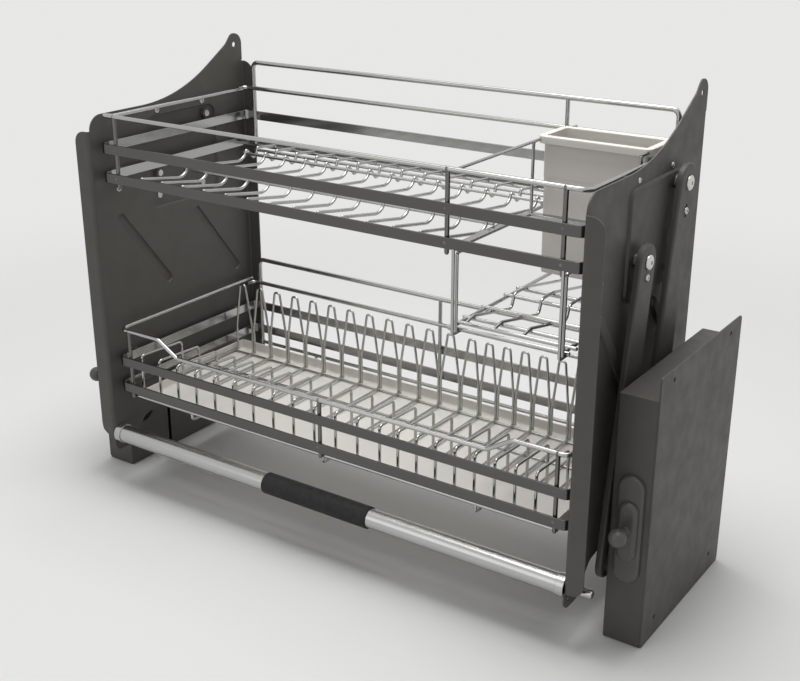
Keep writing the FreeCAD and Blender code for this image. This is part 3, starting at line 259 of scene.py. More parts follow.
def arc(centre: Point2, radius: float, start: float, turn: float, steps: int) -> list[Point2]:
    """Points on an arc.

    Args:
        centre: the arc's middle.
        radius: its radius.
        start: the first point's angle, in radians.
        turn: the angle it covers, in radians.
        steps: the number of parts.

    Returns:
        steps + 1 points.
    """
    angles = [start + turn * i / steps for i in range(steps + 1)]
    return [(centre[0] + radius * math.cos(a), centre[1] + radius * math.sin(a)) for a in angles]


def quarter(steps: int, first: int = 0) -> list[Point2]:
    """A quarter round of radius 1: how far in, and how far from its top, each of its points is."""
    angles = [math.pi / 2 * i / steps for i in range(first, steps + 1)]
    return [(1 - math.cos(a), 1 - math.sin(a)) for a in angles]


def circle(centre: Point2, radius: float, steps: int = 32) -> list[Point2]:
    """Points round a circle."""
    return arc(centre, radius, 0.0, 2 * math.pi, steps)[:-1]


def rounded(corners: Sequence[tuple[float, float, float]], steps: int = 8) -> list[Point2]:
    """A closed outline with rounded corners.

    Args:
        corners: each corner's place and radius.
        steps: the parts of each rounding.

    Returns:
        The outline's points in order.
    """
    points: list[Point2] = []
    count = len(corners)
    for i, (a, b, radius) in enumerate(corners):
        here = Vector((a, b))
        if radius <= 0:
            points.append((a, b))
            continue
        back = (Vector(corners[i - 1][:2]) - here).normalized()
        ahead = (Vector(corners[(i + 1) % count][:2]) - here).normalized()
        half = back.angle(ahead) / 2
        reach = radius / math.tan(half)
        centre = here + (back + ahead).normalized() * (radius / math.sin(half))
        start = here + back * reach - centre
        end = here + ahead * reach - centre
        first = math.atan2(start.y, start.x)
        turn = (math.atan2(end.y, end.x) - first + math.pi) % (2 * math.pi) - math.pi
        points += arc((centre.x, centre.y), radius, first, turn, steps)
    return points


def rounded_box(a0: float, a1: float, b0: float, b1: float, radius: float, inset: float = 0.0,
                steps: int = 8) -> list[Point2]:
    """A rectangle with rounded corners, moved in by inset all round, with the same point count."""
    r = max(radius - inset, 0.15)
    return rounded([(a0 + inset, b0 + inset, r), (a1 - inset, b0 + inset, r),
                    (a1 - inset, b1 - inset, r), (a0 + inset, b1 - inset, r)], steps)


def capsule(start: Point2, end: Point2, width: float, inset: float = 0.0,
            steps: int = 14) -> list[Point2]:
    """A slot with round ends along any line, moved in by inset all round."""
    r = width / 2 - inset
    angle = math.atan2(end[1] - start[1], end[0] - start[0])
    return (arc(end, r, angle - math.pi / 2, math.pi, steps)
            + arc(start, r, angle + math.pi / 2, math.pi, steps))


# Meshes


class Shell:
    """A mesh being put together from rings, strips and flat faces, in construction millimetres."""

    def __init__(self) -> None:
        """Starts with nothing."""
        self.points: list[Point3] = []
        self.faces: list[tuple[int, ...]] = []

    def ring(self, points: Profile) -> list[int]:
        """Adds points and returns their numbers."""
        start = len(self.points)
        self.points += [tuple(p) for p in points]
        return list(range(start, len(self.points)))

    def bridge(self, a: Sequence[int], b: Sequence[int], closed: bool = True) -> None:
        """Joins two rings, or two open rows, of the same count with quads."""
        last = len(a) if closed else len(a) - 1
        for i in range(last):
            j = (i + 1) % len(a)
            self.faces.append((a[i], a[j], b[j], b[i]))

    def loft(self, rings: Sequence[Profile], closed: bool = True) -> list[list[int]]:
        """Adds rings and joins each to the next."""
        made = [self.ring(r) for r in rings]
        for a, b in zip(made, made[1:]):
            self.bridge(a, b, closed)
        return made

    def fill(self, ring: Sequence[int]) -> None:
        """Closes a ring with one face."""
        self.faces.append(tuple(ring))

    def flat(self, loops: Sequence[Sequence[Point3]]) -> None:
        """Adds a flat face with holes: the first loop is its edge, the others its holes."""
        rings = [self.ring(loop) for loop in loops]
        numbers = [n for ring in rings for n in ring]
        lowest = numbers[0]
        parts = tessellate_polygon([[Vector(self.points[n]) for n in ring] for ring in rings])
        self.faces += [tuple(lowest + i for i in part) for part in parts]

    def lathe(self, profile: Sequence[Point2], axis: str, centre: Point3, sides: int = 48) -> None:
        """Turns a profile of (distance along the axis, radius) round an axis through centre."""
        rings = []
        for along, radius in profile:
            ring = []
            for a, b in circle((0.0, 0.0), radius, sides):
                offset = {"x": (along, a, b), "y": (b, along, a), "z": (a, b, along)}[axis]
                ring.append(tuple(c + o for c, o in zip(centre, offset)))
            rings.append(ring)
        made = self.loft(rings)
        self.fill(made[0])
        self.fill(made[-1])

    def mirrored(self) -> "Shell":
        """The left-hand twin."""
        twin = Shell()
        twin.points = [(-x, y, z) for x, y, z in self.points]
        twin.faces = [tuple(reversed(f)) for f in self.faces]
        return twin

    def on(self, side: Side) -> "Shell":
        """This right-hand shell, or its twin for the left."""
        return self if side is Side.RIGHT else self.mirrored()

    def mesh(self, name: str, outwards: bool = True, finish: Finish | None = None) -> Mesh:
        """The finished mesh in metres, with doubles merged.

        Args:
            name: the mesh's name.
            outwards: whether to turn the faces of a closed shape outwards.
            finish: its finish, where it is to be joined to others.

        Returns:
            The mesh.
        """
        data = bpy.data.meshes.new(name)
        data.from_pydata([SPACE.at(p) for p in self.points], [], self.faces)
        work = bmesh.new()
        work.from_mesh(data)
        bmesh.ops.remove_doubles(work, verts=work.verts, dist=0.01 * MM)
        bmesh.ops.dissolve_degenerate(work, edges=work.edges, dist=0.001 * MM)
        if outwards:
            bmesh.ops.recalc_face_normals(work, faces=work.faces)
        work.to_mesh(data)
        work.free()
        if finish:
            data.materials.append(finish.material())
        return data


@dataclass
class Kit:
    """Hangs finished meshes on the frame and keeps count of them."""

    made: list[str] = field(default_factory=list)

    def add(self, name: str, data: Mesh, finish: Finish, body: str,
            replaces: Sequence[str] = (), sharp: float = 35.0) -> bpy.types.Object:
        """Makes a piece, dresses it and lets it ride on its body.

        Args:
            name: the piece's name.
            data: its mesh.
            finish: its finish, used where the mesh has no material yet.
            body: the body it moves with.
            replaces: the construction nodes it stands for.
            sharp: the angle in degrees past which an edge stays sharp.

        Returns:
            The piece.
        """
        if not data.materials:
            data.materials.append(finish.material())
        data.shade_smooth()
        data.set_sharp_from_angle(angle=math.radians(sharp))
        piece = shown(name, data)
        shading = piece.modifiers.new("shading", "WEIGHTED_NORMAL")
        shading.keep_sharp = True
        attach(piece, body)
        if replaces:
            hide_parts(*replaces)
        self.made.append(name)
        LOG.info("%s: %d faces on %s", name, len(data.polygons), body)
        return piece

    def solid(self, name: str, shell: Shell, finish: Finish, body: str,
              replaces: Sequence[str] = (), sharp: float = 35.0) -> bpy.types.Object:
        """Makes a piece of a closed shell."""
        return self.add(name, shell.mesh(name), finish, body, replaces, sharp)

    def sheet(self, name: str, shell: Shell, thickness: float, finish: Finish, body: str,
              replaces: Sequence[str] = ()) -> bpy.types.Object:
        """Makes a piece of an open shell, thickened away from the side its faces look at."""
        piece = self.add(name, shell.mesh(name, outwards=False), finish, body, replaces)
        piece.modifiers.clear()
        wall = piece.modifiers.new("sheet", "SOLIDIFY")
        wall.thickness = thickness * MM
        wall.offset = -1.0
        wall.use_even_offset = True
        edge = piece.modifiers.new("edge", "BEVEL")
        edge.width = 0.3 * MM
        edge.segments = 2
        edge.limit_method = "ANGLE"
        edge.angle_limit = math.radians(50)
        shading = piece.modifiers.new("shading", "WEIGHTED_NORMAL")
        shading.keep_sharp = True
        return piece

    def wired(self, name: str, *parts: Mesh, replaces: Sequence[str] = ()) -> None:
        """Makes a piece of the rack out of several drawn meshes."""
        self.add(name, joined(name, *parts), BRIGHT_WIRE, "rack", replaces)

    def dress(self, finish: Finish, *nodes: str) -> None:
        """Gives construction nodes that are shown as they are a finish."""
        for node in nodes:
            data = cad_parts[node].data
            data.materials.clear()
            data.materials.append(finish.material())


# Node trees that draw what repeats


class Recipe(Nodes):
    """A geometry node tree with named inputs, and the bookkeeping to use it on a mesh."""

    def __init__(self, name: str) -> None:
        """Starts an empty tree that takes and gives geometry."""
        super().__init__(bpy.data.node_groups.new(name, "GeometryNodeTree"))
        self.sockets: dict[str, str] = {}
        self.entry = self.tree.nodes.new("NodeGroupInput")
        self.seed = self.take("Geometry", "Geometry")
        self.tree.interface.new_socket("Geometry", in_out="OUTPUT",
                                       socket_type="NodeSocketGeometry")
        self.exit = self.tree.nodes.new("NodeGroupOutput")

    def take(self, name: str, kind: str = "Float") -> Socket:
        """Adds a named input, notes its identifier and gives its output inside the tree."""
        socket = self.tree.interface.new_socket(name, in_out="INPUT",
                                                socket_type="NodeSocket" + kind)
        self.sockets[name] = socket.identifier
        return self.entry.outputs[name]

    def node(self, kind: str, *ordered: object, **given: object) -> Socket:
        """Adds a geometry node, as add does, and gives its first output."""
        return self.add("GeometryNode" + kind, *ordered, **given).outputs[0]

    def filleted(self, curve: Socket, radius: Socket, count: object, **given: object) -> Socket:
        """A curve with its corners rounded."""
        return self.node("FilletCurve", mode="POLY", Curve=curve, Radius=radius, Count=count,
                         **given)

    def mark(self, name: str, kind: str) -> Socket:
        """The value of one of the seed mesh's attributes."""
        return self.node("InputNamedAttribute", data_type=kind, Name=name)

    def end(self, geometry: Socket) -> None:
        """Closes the tree with Realize Instances and Set Material."""
        real = self.node("RealizeInstances", Geometry=geometry)
        dressed = self.node("SetMaterial", Geometry=real,
                            Material=self.take("Material", "Material"))
        self.feed(self.exit.inputs["Geometry"], dressed)

    def apply(self, name: str, seed_mesh: Mesh, finish: Finish,
              **values: float) -> Mesh:
        """Runs the tree on a mesh and returns the plain result.

        Args:
            name: the result's name.
            seed_mesh: the mesh that the tree starts from.
            finish: the finish for its Material input.
            values: the other inputs, by name with underscores for spaces.

        Returns:
            The evaluated mesh, with no modifier left.
        """
        carrier = shown(name + "_carrier", seed_mesh)
        modifier = carrier.modifiers.new("recipe", "NODES")
        modifier.node_group = self.tree
        for key, value in values.items():
            modifier[self.sockets[key.replace("_", " ")]] = value
        modifier[self.sockets["Material"]] = finish.material()
        graph = bpy.context.evaluated_depsgraph_get()
        result = bpy.data.meshes.new_from_object(carrier.evaluated_get(graph),
                                                 preserve_all_data_layers=False, depsgraph=graph)
        carrier.modifiers.remove(modifier)
        bpy.data.objects.remove(carrier)
        bpy.data.meshes.remove(seed_mesh)
        result.name = name
        return result


def wire_recipe() -> Recipe:
    """Round wires along the seed mesh's edges, with weld beads on its marked loose points."""
    recipe = Recipe("bent_wires_with_welds")
    radius, bend = recipe.take("Wire Radius"), recipe.take("Bend Radius")
    steps, sides = recipe.take("Bend Steps", "Int"), recipe.take("Sides", "Int")
    bead = recipe.mark("bead", "FLOAT")
    loose = recipe.add("FunctionNodeCompare", bead, 0.01, data_type="FLOAT",
                       operation="GREATER_THAN").outputs["Result"]
    split = recipe.add("GeometryNodeSeparateGeometry", domain="POINT", Geometry=recipe.seed,
                       Selection=loose)
    lines = recipe.node("MeshToCurve", Mesh=split.outputs["Inverted"])
    bent = recipe.filleted(lines, bend, steps, Limit_Radius=True)
    section = recipe.node("CurvePrimitiveCircle", Resolution=sides, Radius=radius)
    drawn = recipe.node("CurveToMesh", Curve=bent, Profile_Curve=section, Fill_Caps=True)
    ball = recipe.node("MeshUVSphere", Segments=12, Rings=8, Radius=radius)
    swell = recipe.add("FunctionNodeRandomValue", data_type="FLOAT", Min=0.94, Max=1.06, Seed=SEED)
    beads = recipe.node("InstanceOnPoints", Points=split.outputs["Selection"], Instance=ball,
                        Scale=recipe.math("MULTIPLY", bead, swell.outputs[1]))
    both = recipe.add("GeometryNodeJoinGeometry")
    for part in (beads, drawn):
        recipe.feed(both.inputs["Geometry"], part)
    recipe.end(both.outputs["Geometry"])
    return recipe


def band_recipe() -> Recipe:
    """Flat bands with eased edges along the seed mesh's edges, standing upright."""
    recipe = Recipe("flat_bands")
    thickness, height = recipe.take("Band Thickness"), recipe.take("Band Height")
    easing, bend = recipe.take("Edge Radius"), recipe.take("Bend Radius")
    lines = recipe.node("MeshToCurve", Mesh=recipe.seed)
    bent = recipe.filleted(lines, bend, 10, Limit_Radius=True)
    upright = recipe.node("SetCurveNormal", mode="Z_UP", Curve=bent)
    section = recipe.node("CurvePrimitiveQuadrilateral", Width=thickness, Height=height)
    eased = recipe.filleted(section, easing, 3)
    recipe.end(recipe.node("CurveToMesh", Curve=upright, Profile_Curve=eased, Fill_Caps=True))
    return recipe


def fastener_recipe() -> Recipe:
    """Screw or bolt heads on the seed mesh's points, turned along their facing."""
    recipe = Recipe("fastener_heads")
    radius, height = recipe.take("Head Radius"), recipe.take("Head Height")
    crown, socket = recipe.take("Crown Radius"), recipe.take("Socket Radius")
    depth, sides = recipe.take("Socket Depth"), recipe.take("Socket Sides", "Int")
    stock = recipe.node("MeshCylinder", Vertices=40, Side_Segments=8, Radius=radius, Depth=height)
    parts = recipe.add("ShaderNodeSeparateXYZ", Vector=recipe.node("InputPosition")).outputs
    t = recipe.math("ADD", recipe.math("DIVIDE", parts["Z"], height), 0.5)
    cube = recipe.math("POWER", recipe.math("MAXIMUM", t, 0.0), 3.0)
    loss = recipe.math("SUBTRACT", 1.0, recipe.math("DIVIDE", crown, radius))
    width = recipe.math("SUBTRACT", 1.0, recipe.math("MULTIPLY", loss, cube))
    domed = recipe.add("ShaderNodeCombineXYZ", recipe.math("MULTIPLY", parts["X"], width),
                       recipe.math("MULTIPLY", parts["Y"], width),
                       recipe.math("ADD", parts["Z"], recipe.math("MULTIPLY", height, 0.5)))
    head = recipe.node("SetPosition", Geometry=stock, Position=domed.outputs["Vector"])
    key = recipe.node("MeshCylinder", Vertices=sides, Radius=socket,
                      Depth=recipe.math("MULTIPLY", depth, 2.0))
    top = recipe.add("ShaderNodeCombineXYZ", Z=height).outputs[0]
    cut = recipe.add("GeometryNodeMeshBoolean", operation="DIFFERENCE")
    recipe.feed(cut.inputs["Mesh 1"], head)
    recipe.feed(cut.inputs["Mesh 2"], recipe.node("Transform", Geometry=key, Translation=top))
    turned = recipe.add("FunctionNodeAlignRotationToVector", axis="Z",
                        Vector=recipe.mark("facing", "FLOAT_VECTOR")).outputs["Rotation"]
    recipe.end(recipe.node("InstanceOnPoints", Points=recipe.seed, Instance=cut.outputs["Mesh"],
                           Rotation=turned))
    return recipe


WIRES = wire_recipe()
BANDS = band_recipe()
HEADS = fastener_recipe()


def line_mesh(lines: Sequence[Sequence[Point3]], loose: Sequence[Point3] = ()) -> Mesh:
    """A mesh of edges along the lines, and of loose points after them."""
    points: list[Vector] = []
    edges: list[tuple[int, int]] = []
    for line in lines:
        start = len(points)
        points += [SPACE.at(p) for p in line]
        edges += [(start + i, start + i + 1) for i in range(len(line) - 1)]
    data = bpy.data.meshes.new("seed")
    data.from_pydata(points + [SPACE.at(p) for p in loose], edges, [])
    return data


class WireWork:
    """Wires and weld beads of one piece, gathered before they are drawn."""

    def __init__(self) -> None:
        """Starts with no wire."""
        self.lines: list[list[Point3]] = []
        self.beads: list[tuple[Point3, float]] = []

    def wire(self, *points: Point3, ends: bool = False) -> None:
        """Adds a wire through the points, with rounded ends where they are free."""
        self.lines.append(list(points))
        if ends:
            self.beads += [(points[0], 1.0), (points[-1], 1.0)]

    def weld(self, *points: Point3, size: float = 1.16) -> None:
        """Adds weld beads, size wire radii in radius."""
        self.beads += [(p, size) for p in points]

    def draw(self, name: str, finish: Finish, radius: float, bend: float = 4.0, sides: int = 14,
             bend_steps: int = 7) -> Mesh:
        """Draws the wires with one radius."""
        data = line_mesh(self.lines, [p for p, _ in self.beads])
        mark = data.attributes.new("bead", "FLOAT", "POINT")
        bare = [0.0] * sum(len(line) for line in self.lines)
        mark.data.foreach_set("value", bare + [size for _, size in self.beads])
        return WIRES.apply(name, data, finish, Wire_Radius=radius * MM, Bend_Radius=bend * MM,
                           Bend_Steps=bend_steps, Sides=sides)


def draw_bands(name: str, lines: Sequence[Sequence[Point3]], finish: Finish, thickness: float,
               height: float, bend: float) -> Mesh:
    """Draws flat bands along lines through their middles."""
    return BANDS.apply(name, line_mesh(lines), finish, Band_Thickness=thickness * MM,
                       Band_Height=height * MM, Edge_Radius=0.5 * MM, Bend_Radius=bend * MM)


@dataclass(frozen=True)
class HeadShape:
    """The sizes of a screw or bolt head."""

    radius: float
    height: float
    crown: float
    socket: float
    depth: float
    sides: int = 6

    def draw(self, name: str, places: Sequence[tuple[Point3, Point3]], finish: Finish) -> Mesh:
        """Draws heads at places that each have a facing."""
        data = bpy.data.meshes.new("head_seed")
        data.from_pydata([SPACE.at(p) for p, _ in places], [], [])
        facing = data.attributes.new("facing", "FLOAT_VECTOR", "POINT")
        facing.data.foreach_set("vector", [c for _, way in places for c in way])
        return HEADS.apply(name, data, finish, Head_Radius=self.radius * MM,
                           Head_Height=self.height * MM, Crown_Radius=self.crown * MM,
                           Socket_Radius=self.socket * MM, Socket_Depth=self.depth * MM,
                           Socket_Sides=self.sides)


def joined(name: str, *parts: Mesh) -> Mesh:
    """Several meshes as one, each keeping its material."""
    work = bmesh.new()
    materials: list[bpy.types.Material] = []
    for part in parts:
        start = len(work.faces)
        work.from_mesh(part)
        work.faces.ensure_lookup_table()
        slots = [m for m in part.materials if m]
        for face in work.faces[start:]:
            material = slots[min(face.material_index, len(slots) - 1)] if slots else None
            if material and material not in materials:
                materials.append(material)
            face.material_index = materials.index(material) if material else 0
    data = bpy.data.meshes.new(name)
    work.to_mesh(data)
    work.free()
    for material in materials:
        data.materials.append(material)
    for part in parts:
        bpy.data.meshes.remove(part)
    return data


# Side boxes


def plate(shell: Shell, outline: Outline, holes: Sequence[Outline], levels: Point2, easing: float,
          place: Callable[[float, float, float], Point3]) -> None:
    """Adds a flat plate with eased edges and holes.

    Args:
        shell: the shell that takes it.
        outline: the edge at a given inset.
        holes: each hole's edge at a given inset, which makes it larger when negative.
        levels: the plate's two faces.
        easing: the rounding of its edges.
        place: turns two coordinates and a level into a point.
    """
    low, high = levels
    steps = [(low, easing), (low + easing * 0.3, easing * 0.3), (low + easing, 0.0),
             (high - easing, 0.0), (high - easing * 0.3, easing * 0.3), (high, easing)]
    for edge, way in [(outline, 1.0)] + [(hole, -1.0) for hole in holes]:
        shell.loft([[place(a, b, level) for a, b in edge(way * inset)] for level, inset in steps])
    for level in levels:
        loops = [outline(easing)] + [hole(-easing) for hole in holes]
        shell.flat([[place(a, b, level) for a, b in loop] for loop in loops])


def at_x(a: float, b: float, level: float) -> Point3:
    """Outline coordinates as Y and Z, on a plane of constant X."""
    return (level, a, b)


@dataclass(frozen=True)
class SideBox:
    """The fixed box on one side: cover, mounting plate and the adjuster's bezel."""

    side: Side
    inner_x: float = 339.5
    plate_x: float = 380.0
    outer_x: float = 382.0
    front_y: float = -150.0
    rear_y: float = 59.0
    height: float = 273.0
    plate_height: float = 296.5
    adjuster_x: float = 360.75
    adjuster_z: float = 131.5
    slot: Point2 = (14.0, 61.4)
    inner_slot: tuple[Point2, Point2] = ((-79.0, 8.0), (-79.0, 78.0))
    inner_slot_width: float = 5.0
    cover_bend: float = 2.2
    cover_corner: float = 1.4
    hole_radius: float = 2.4
    hole_edges: tuple[float, float, float] = (30.0, 22.0, 11.5)  # from the sides, foot and top
    bezel: Point2 = (27.5, 118.0)
    bezel_depth: float = 5.0
    bezel_softness: Point2 = (2.8, 0.8)  # the roundings of its outer and inner edge
    bezel_reach: float = 1.6             # how far its inside goes through the cover's sheet

    def oblong(self, size: Point2, inset: float = 0.0) -> list[Point2]:
        """An upright slot outline round the adjuster's middle, in X and Z."""
        width, height = size
        reach = (height - width) / 2
        low = (self.adjuster_x, self.adjuster_z - reach)
        high = (self.adjuster_x, self.adjuster_z + reach)
        return capsule(low, high, width, inset)

    def cover(self) -> Shell:
        """The cover's outer face, with the slot in its front."""
        shell = Shell()
        bend, corner = self.cover_bend, self.cover_corner
        levels = [(self.plate_x, 0.0), (self.inner_x + bend, 0.0)]
        levels += [(self.inner_x + bend * down, bend * inward) for inward, down in quarter(5, 1)]
        rings = []
        for x, inset in levels:
            outline = rounded_box(self.front_y, self.rear_y, 0.0, self.height, corner, inset, 4)
            rings.append(shell.ring([(x, y, z) for y, z in outline]))
        for number, (a, b) in enumerate(zip(rings, rings[1:])):
            for i in range(len(a)):
                j = (i + 1) % len(a)
                ys = (shell.points[a[i]][1], shell.points[a[j]][1])
                if number == 0 and max(ys) < self.front_y + 0.001:
                    continue
                shell.faces.append((a[i], a[j], b[j], b[i]))
        inner = [shell.points[n] for n in rings[-1]]
        slot = capsule(*self.inner_slot, self.inner_slot_width)
        shell.flat([inner, [(self.inner_x, y, z) for y, z in slot]])
        y = self.front_y
        x0, x1 = self.inner_x + bend, self.plate_x
        edge = [(x0, y, corner), (x1, y, corner), (x1, y, self.height - corner),
                (x0, y, self.height - corner)]
        shell.flat([edge, [(a, y, b) for a, b in self.oblong(self.slot)]])
        return shell

    def mounting_plate(self) -> Shell:
        """The thin plate with its four screw holes."""
        shell = Shell()
        aside, foot, top = self.hole_edges
        holes = [lambda inset, y=y, z=z: circle((y, z), self.hole_radius - inset, 24)
                 for y in (self.front_y + aside, self.rear_y - aside)
                 for z in (foot, self.plate_height - top)]
        outline = lambda inset: rounded_box(self.front_y, self.rear_y, 0.0, self.plate_height,
                                            4.0, inset)
        plate(shell, outline, holes, (self.plate_x, self.outer_x), 0.4, at_x)
        return shell

    def ring(self) -> Shell:
        """The raised oblong ring round the slot."""
        shell = Shell()
        top = self.front_y - self.bezel_depth
        rings = [[(a, self.front_y, b) for a, b in self.oblong(self.bezel)]]
        for size, way, soft in zip((self.bezel, self.slot), (1, -1), self.bezel_softness):
            for inward, down in quarter(6)[::way]:
                rings.append([(a, top + soft * down, b)
                              for a, b in self.oblong(size, way * soft * inward)])
        rings.append([(a, self.front_y + self.bezel_reach, b) for a, b in self.oblong(self.slot)])
        shell.loft(rings)
        return shell

    def build(self, kit: Kit) -> None:
        """Makes the box's pieces."""
        word = self.side.word
        cover = facing(self.cover().on(self.side), -self.side.value)
        kit.sheet(f"box_cover_shell_{word}", cover, SHEET, GREY_PAINT, "side_boxes",
                  [f"box_cover_{word}"])
        kit.solid(f"wall_plate_{word}", self.mounting_plate().on(self.side), GREY_PAINT,
                  "side_boxes", [f"mounting_plate_{word}"])
        kit.solid(f"adjuster_ring_{word}", self.ring().on(self.side), GREY_PLASTIC, "side_boxes",
                  [f"adjuster_bezel_{word}"], sharp=50.0)


@dataclass(frozen=True)
class Adjuster:
    """The slider, its link inside the box and the ball knob on one side."""

    box: SideBox
    width: float = 20.5
    height: float = 65.0
    back: float = 5.2
    proud: float = 10.2
    knob_radius: float = 9.2
    softness: float = 4.4
    neck: Point2 = (12.0, 21.0)
    knob_y: float = -178.0
    knob_lift: float = 3.0

    def slider(self) -> Shell:
        """The oblong slider with a soft crown, and its neck through the slot."""
        shell = Shell()
        box = self.box
        face_y = box.front_y - self.proud
        soft = self.softness
        size = (self.width, self.height)
        rings = [[(a, box.front_y - self.back, b) for a, b in box.oblong(size)]]
        for inward, down in quarter(10):
            rings.append([(a, face_y + soft * down, b)
                          for a, b in box.oblong(size, soft * inward)])
        made = shell.loft(rings)
        shell.fill(made[-1])
        shell.fill(list(reversed(made[0])))
        neck = shell.loft([[(a, box.front_y + y, b) for a, b in box.oblong(self.neck)]
                           for y in (-self.back - 0.4, 1.8)])
        for ring in neck:
            shell.fill(ring)
        return shell

    def inner_link(self) -> Shell:
        """The shutter behind the slot and the bracket that runs back to the spring."""
        shell = Shell()
        box = self.box
        z = box.adjuster_z
        for x0, x1, y0, y1, z0, z1 in ((350.8, 370.7, -148.3, -146.7, z - 53.7, z + 53.7),
                                       (347.6, 360.7, -148.2, -146.8, 40.0, 87.8),
                                       (347.6, 350.6, -147.2, -30.7, 40.0, 50.0)):
            outline = lambda inset: rounded_box(y0, y1, z0, z1, 0.6, inset, 3)
            plate(shell, outline, [], (x0, x1), 0.3, at_x)
        return shell

    def knob(self) -> Shell:
        """The stem, neck and ball as one turned shape."""
        shell = Shell()
        box = self.box
        face = box.front_y - self.proud
        r = self.knob_radius
        profile = [(face + 1.0, 3.4), (face - 0.3, 4.6), (face - 1.4, 3.6),
                   (self.knob_y + r + 1.2, 3.5), (self.knob_y + r - 0.6, 4.4)]
        for i in range(3, 17):
            angle = math.pi * i / 18
            profile.append((self.knob_y + r * math.cos(angle), r * math.sin(angle)))
        profile.append((self.knob_y - r * 0.985, r * 0.17))
        shell.lathe(profile, "y", (box.adjuster_x, 0.0, box.adjuster_z + self.knob_lift))
        return shell

    def build(self, kit: Kit) -> None:
        """Makes the adjuster's pieces."""
        side = self.box.side
        body = f"adjuster_{side.word}"
        kit.solid(f"adjuster_slide_{side.word}", self.slider().on(side), GREY_PLASTIC, body,
                  [f"adjuster_slider_{side.word}"], sharp=50.0)
        kit.solid(f"adjuster_link_{side.word}", self.inner_link().on(side), DARK_PLASTIC, body)
        kit.solid(f"adjuster_ball_{side.word}", self.knob().on(side), GREY_PLASTIC, body,
                  [f"adjuster_knob_{side.word}"], sharp=60.0)


# Arms and pivots


@dataclass(frozen=True)
class Arm:
    """One pressed arm: a shallow channel with round ends and its web outwards."""

    side: Side
    word: str
    lower: Point2
    upper: Point2
    width: float
    slot: tuple[Point2, Point2] | None = None
    outer_x: float = ARM_X
    depth: float = 6.5
    bend: float = 2.4
    slot_width: float = 5.2

    def skin(self) -> Shell:
        """The arm's outer face, from one lip over the web to the other."""
        shell = Shell()
        bend = self.bend
        rings = [(self.outer_x - self.depth, 0.0), (self.outer_x - bend, 0.0)]
        rings += [(self.outer_x - bend * down, bend * inward) for inward, down in quarter(5, 1)]
        shell.loft([[(x, y, z) for y, z in capsule(self.lower, self.upper, self.width, inset, 20)]
                    for x, inset in rings])
        loops = [capsule(self.lower, self.upper, self.width, bend, 20)]
        if self.slot:
            loops.append(capsule(*self.slot, self.slot_width, 0.0, 8))
        shell.flat([[(self.outer_x, y, z) for y, z in loop] for loop in loops])
        return shell

    def build(self, kit: Kit) -> None:
        """Makes the arm."""
        kit.sheet(f"{self.word}_swing_arm_{self.side.word}",
                  facing(self.skin().on(self.side), self.side.value), SHEET, GREY_PAINT,
                  f"{self.word}_arms", [f"{self.word}_arm_{self.side.word}"])


def facing(shell: Shell, way: int) -> Shell:
    """Turns a shell's faces so that most of their area looks along X, or against it for -1."""
    loose = shell.mesh("loose", outwards=False)
    work = bmesh.new()
    work.from_mesh(loose)
    bmesh.ops.recalc_face_normals(work, faces=work.faces)
    if way * sum(f.normal.x * f.calc_area() for f in work.faces) < 0:
        bmesh.ops.reverse_faces(work, faces=work.faces)
    turned = Shell()
    turned.points = [(v.co.x / MM, v.co.y / MM - SPACE.shift, v.co.z / MM) for v in work.verts]
    work.verts.index_update()
    turned.faces = [tuple(v.index for v in f.verts) for f in work.faces]
    work.free()
    bpy.data.meshes.remove(loose)
    return turned


@dataclass(frozen=True)
class Linkage:
    """Both pairs of arms and the bolts that they turn on."""

    length: float = 309.43
    lean: float = 8.55
    rear_upper: Point2 = (0.0, 444.0)
    front_upper: Point2 = (-88.0, 384.0)
    slot_drop: float = 28.0
    slot_half: float = 4.3
    screw_drop: float = 15.0
    spacer: tuple[Point2, ...] = ((320.2, 7.0), (320.6, 7.5), (331.8, 7.5), (332.2, 7.0))
    shank: tuple[Point2, ...] = ((312.6, 3.4), (313.0, 4.0), (334.4, 4.0), (334.5, 3.0))

    def down_from(self, upper: Point2, drop: float) -> Point2:
        """A place on the arm's middle line, below its upper pivot."""
        angle = math.radians(self.lean)
        return (upper[0] - drop * math.sin(angle), upper[1] - drop * math.cos(angle))

    def build(self, kit: Kit) -> None:
        """Makes the arms, their screws and the upper bolts."""
        slot = (self.down_from(self.rear_upper, self.slot_drop + self.slot_half),
                self.down_from(self.rear_upper, self.slot_drop - self.slot_half))
        for side in Side:
            for word, upper, width, hole in (("front", self.front_upper, 36.0, None),
                                             ("rear", self.rear_upper, 40.0, slot)):
                Arm(side, word, self.down_from(upper, self.length), upper, width, hole).build(kit)
        bolt = HeadShape(7.9, 2.7, 4.6, 2.4, 1.2)
        small = HeadShape(3.8, 1.9, 2.6, 1.3, 1.0)
        uppers = (self.front_upper, self.rear_upper)
        outs = [((s.value * (ARM_X + 0.3), *p), (s.value, 0.0, 0.0)) for s in Side for p in uppers]
        spacer = Shell()
        for p in uppers:
            for profile, sides in ((self.spacer, 40), (self.shank, 24)):
                spacer.lathe(profile, "x", (0.0, *p), sides)
        kit.wired("upper_bolts_and_spacers", bolt.draw("bolts", outs, BOLT_STEEL),
                  *[spacer.on(s).mesh("sleeve", finish=STEEL) for s in Side],
                  replaces=["upper_pivot_bolts", "upper_pivot_spacers"])
        for word, upper, drop in (("front", self.front_upper, self.screw_drop),
                                  ("rear", self.rear_upper, self.slot_drop)):
            y, z = self.down_from(upper, drop)
            places = []
            for s in Side:
                places.append(((s.value * ARM_X, y, z), (s.value, 0.0, 0.0)))
                places.append(((s.value * (ARM_X - 1.6), y, z), (-s.value, 0.0, 0.0)))
            kit.add(f"{word}_arm_small_screws", small.draw("small_screws", places, STEEL), STEEL,
                    f"{word}_arms", [f"{word}_arm_screws"])


# Side panels


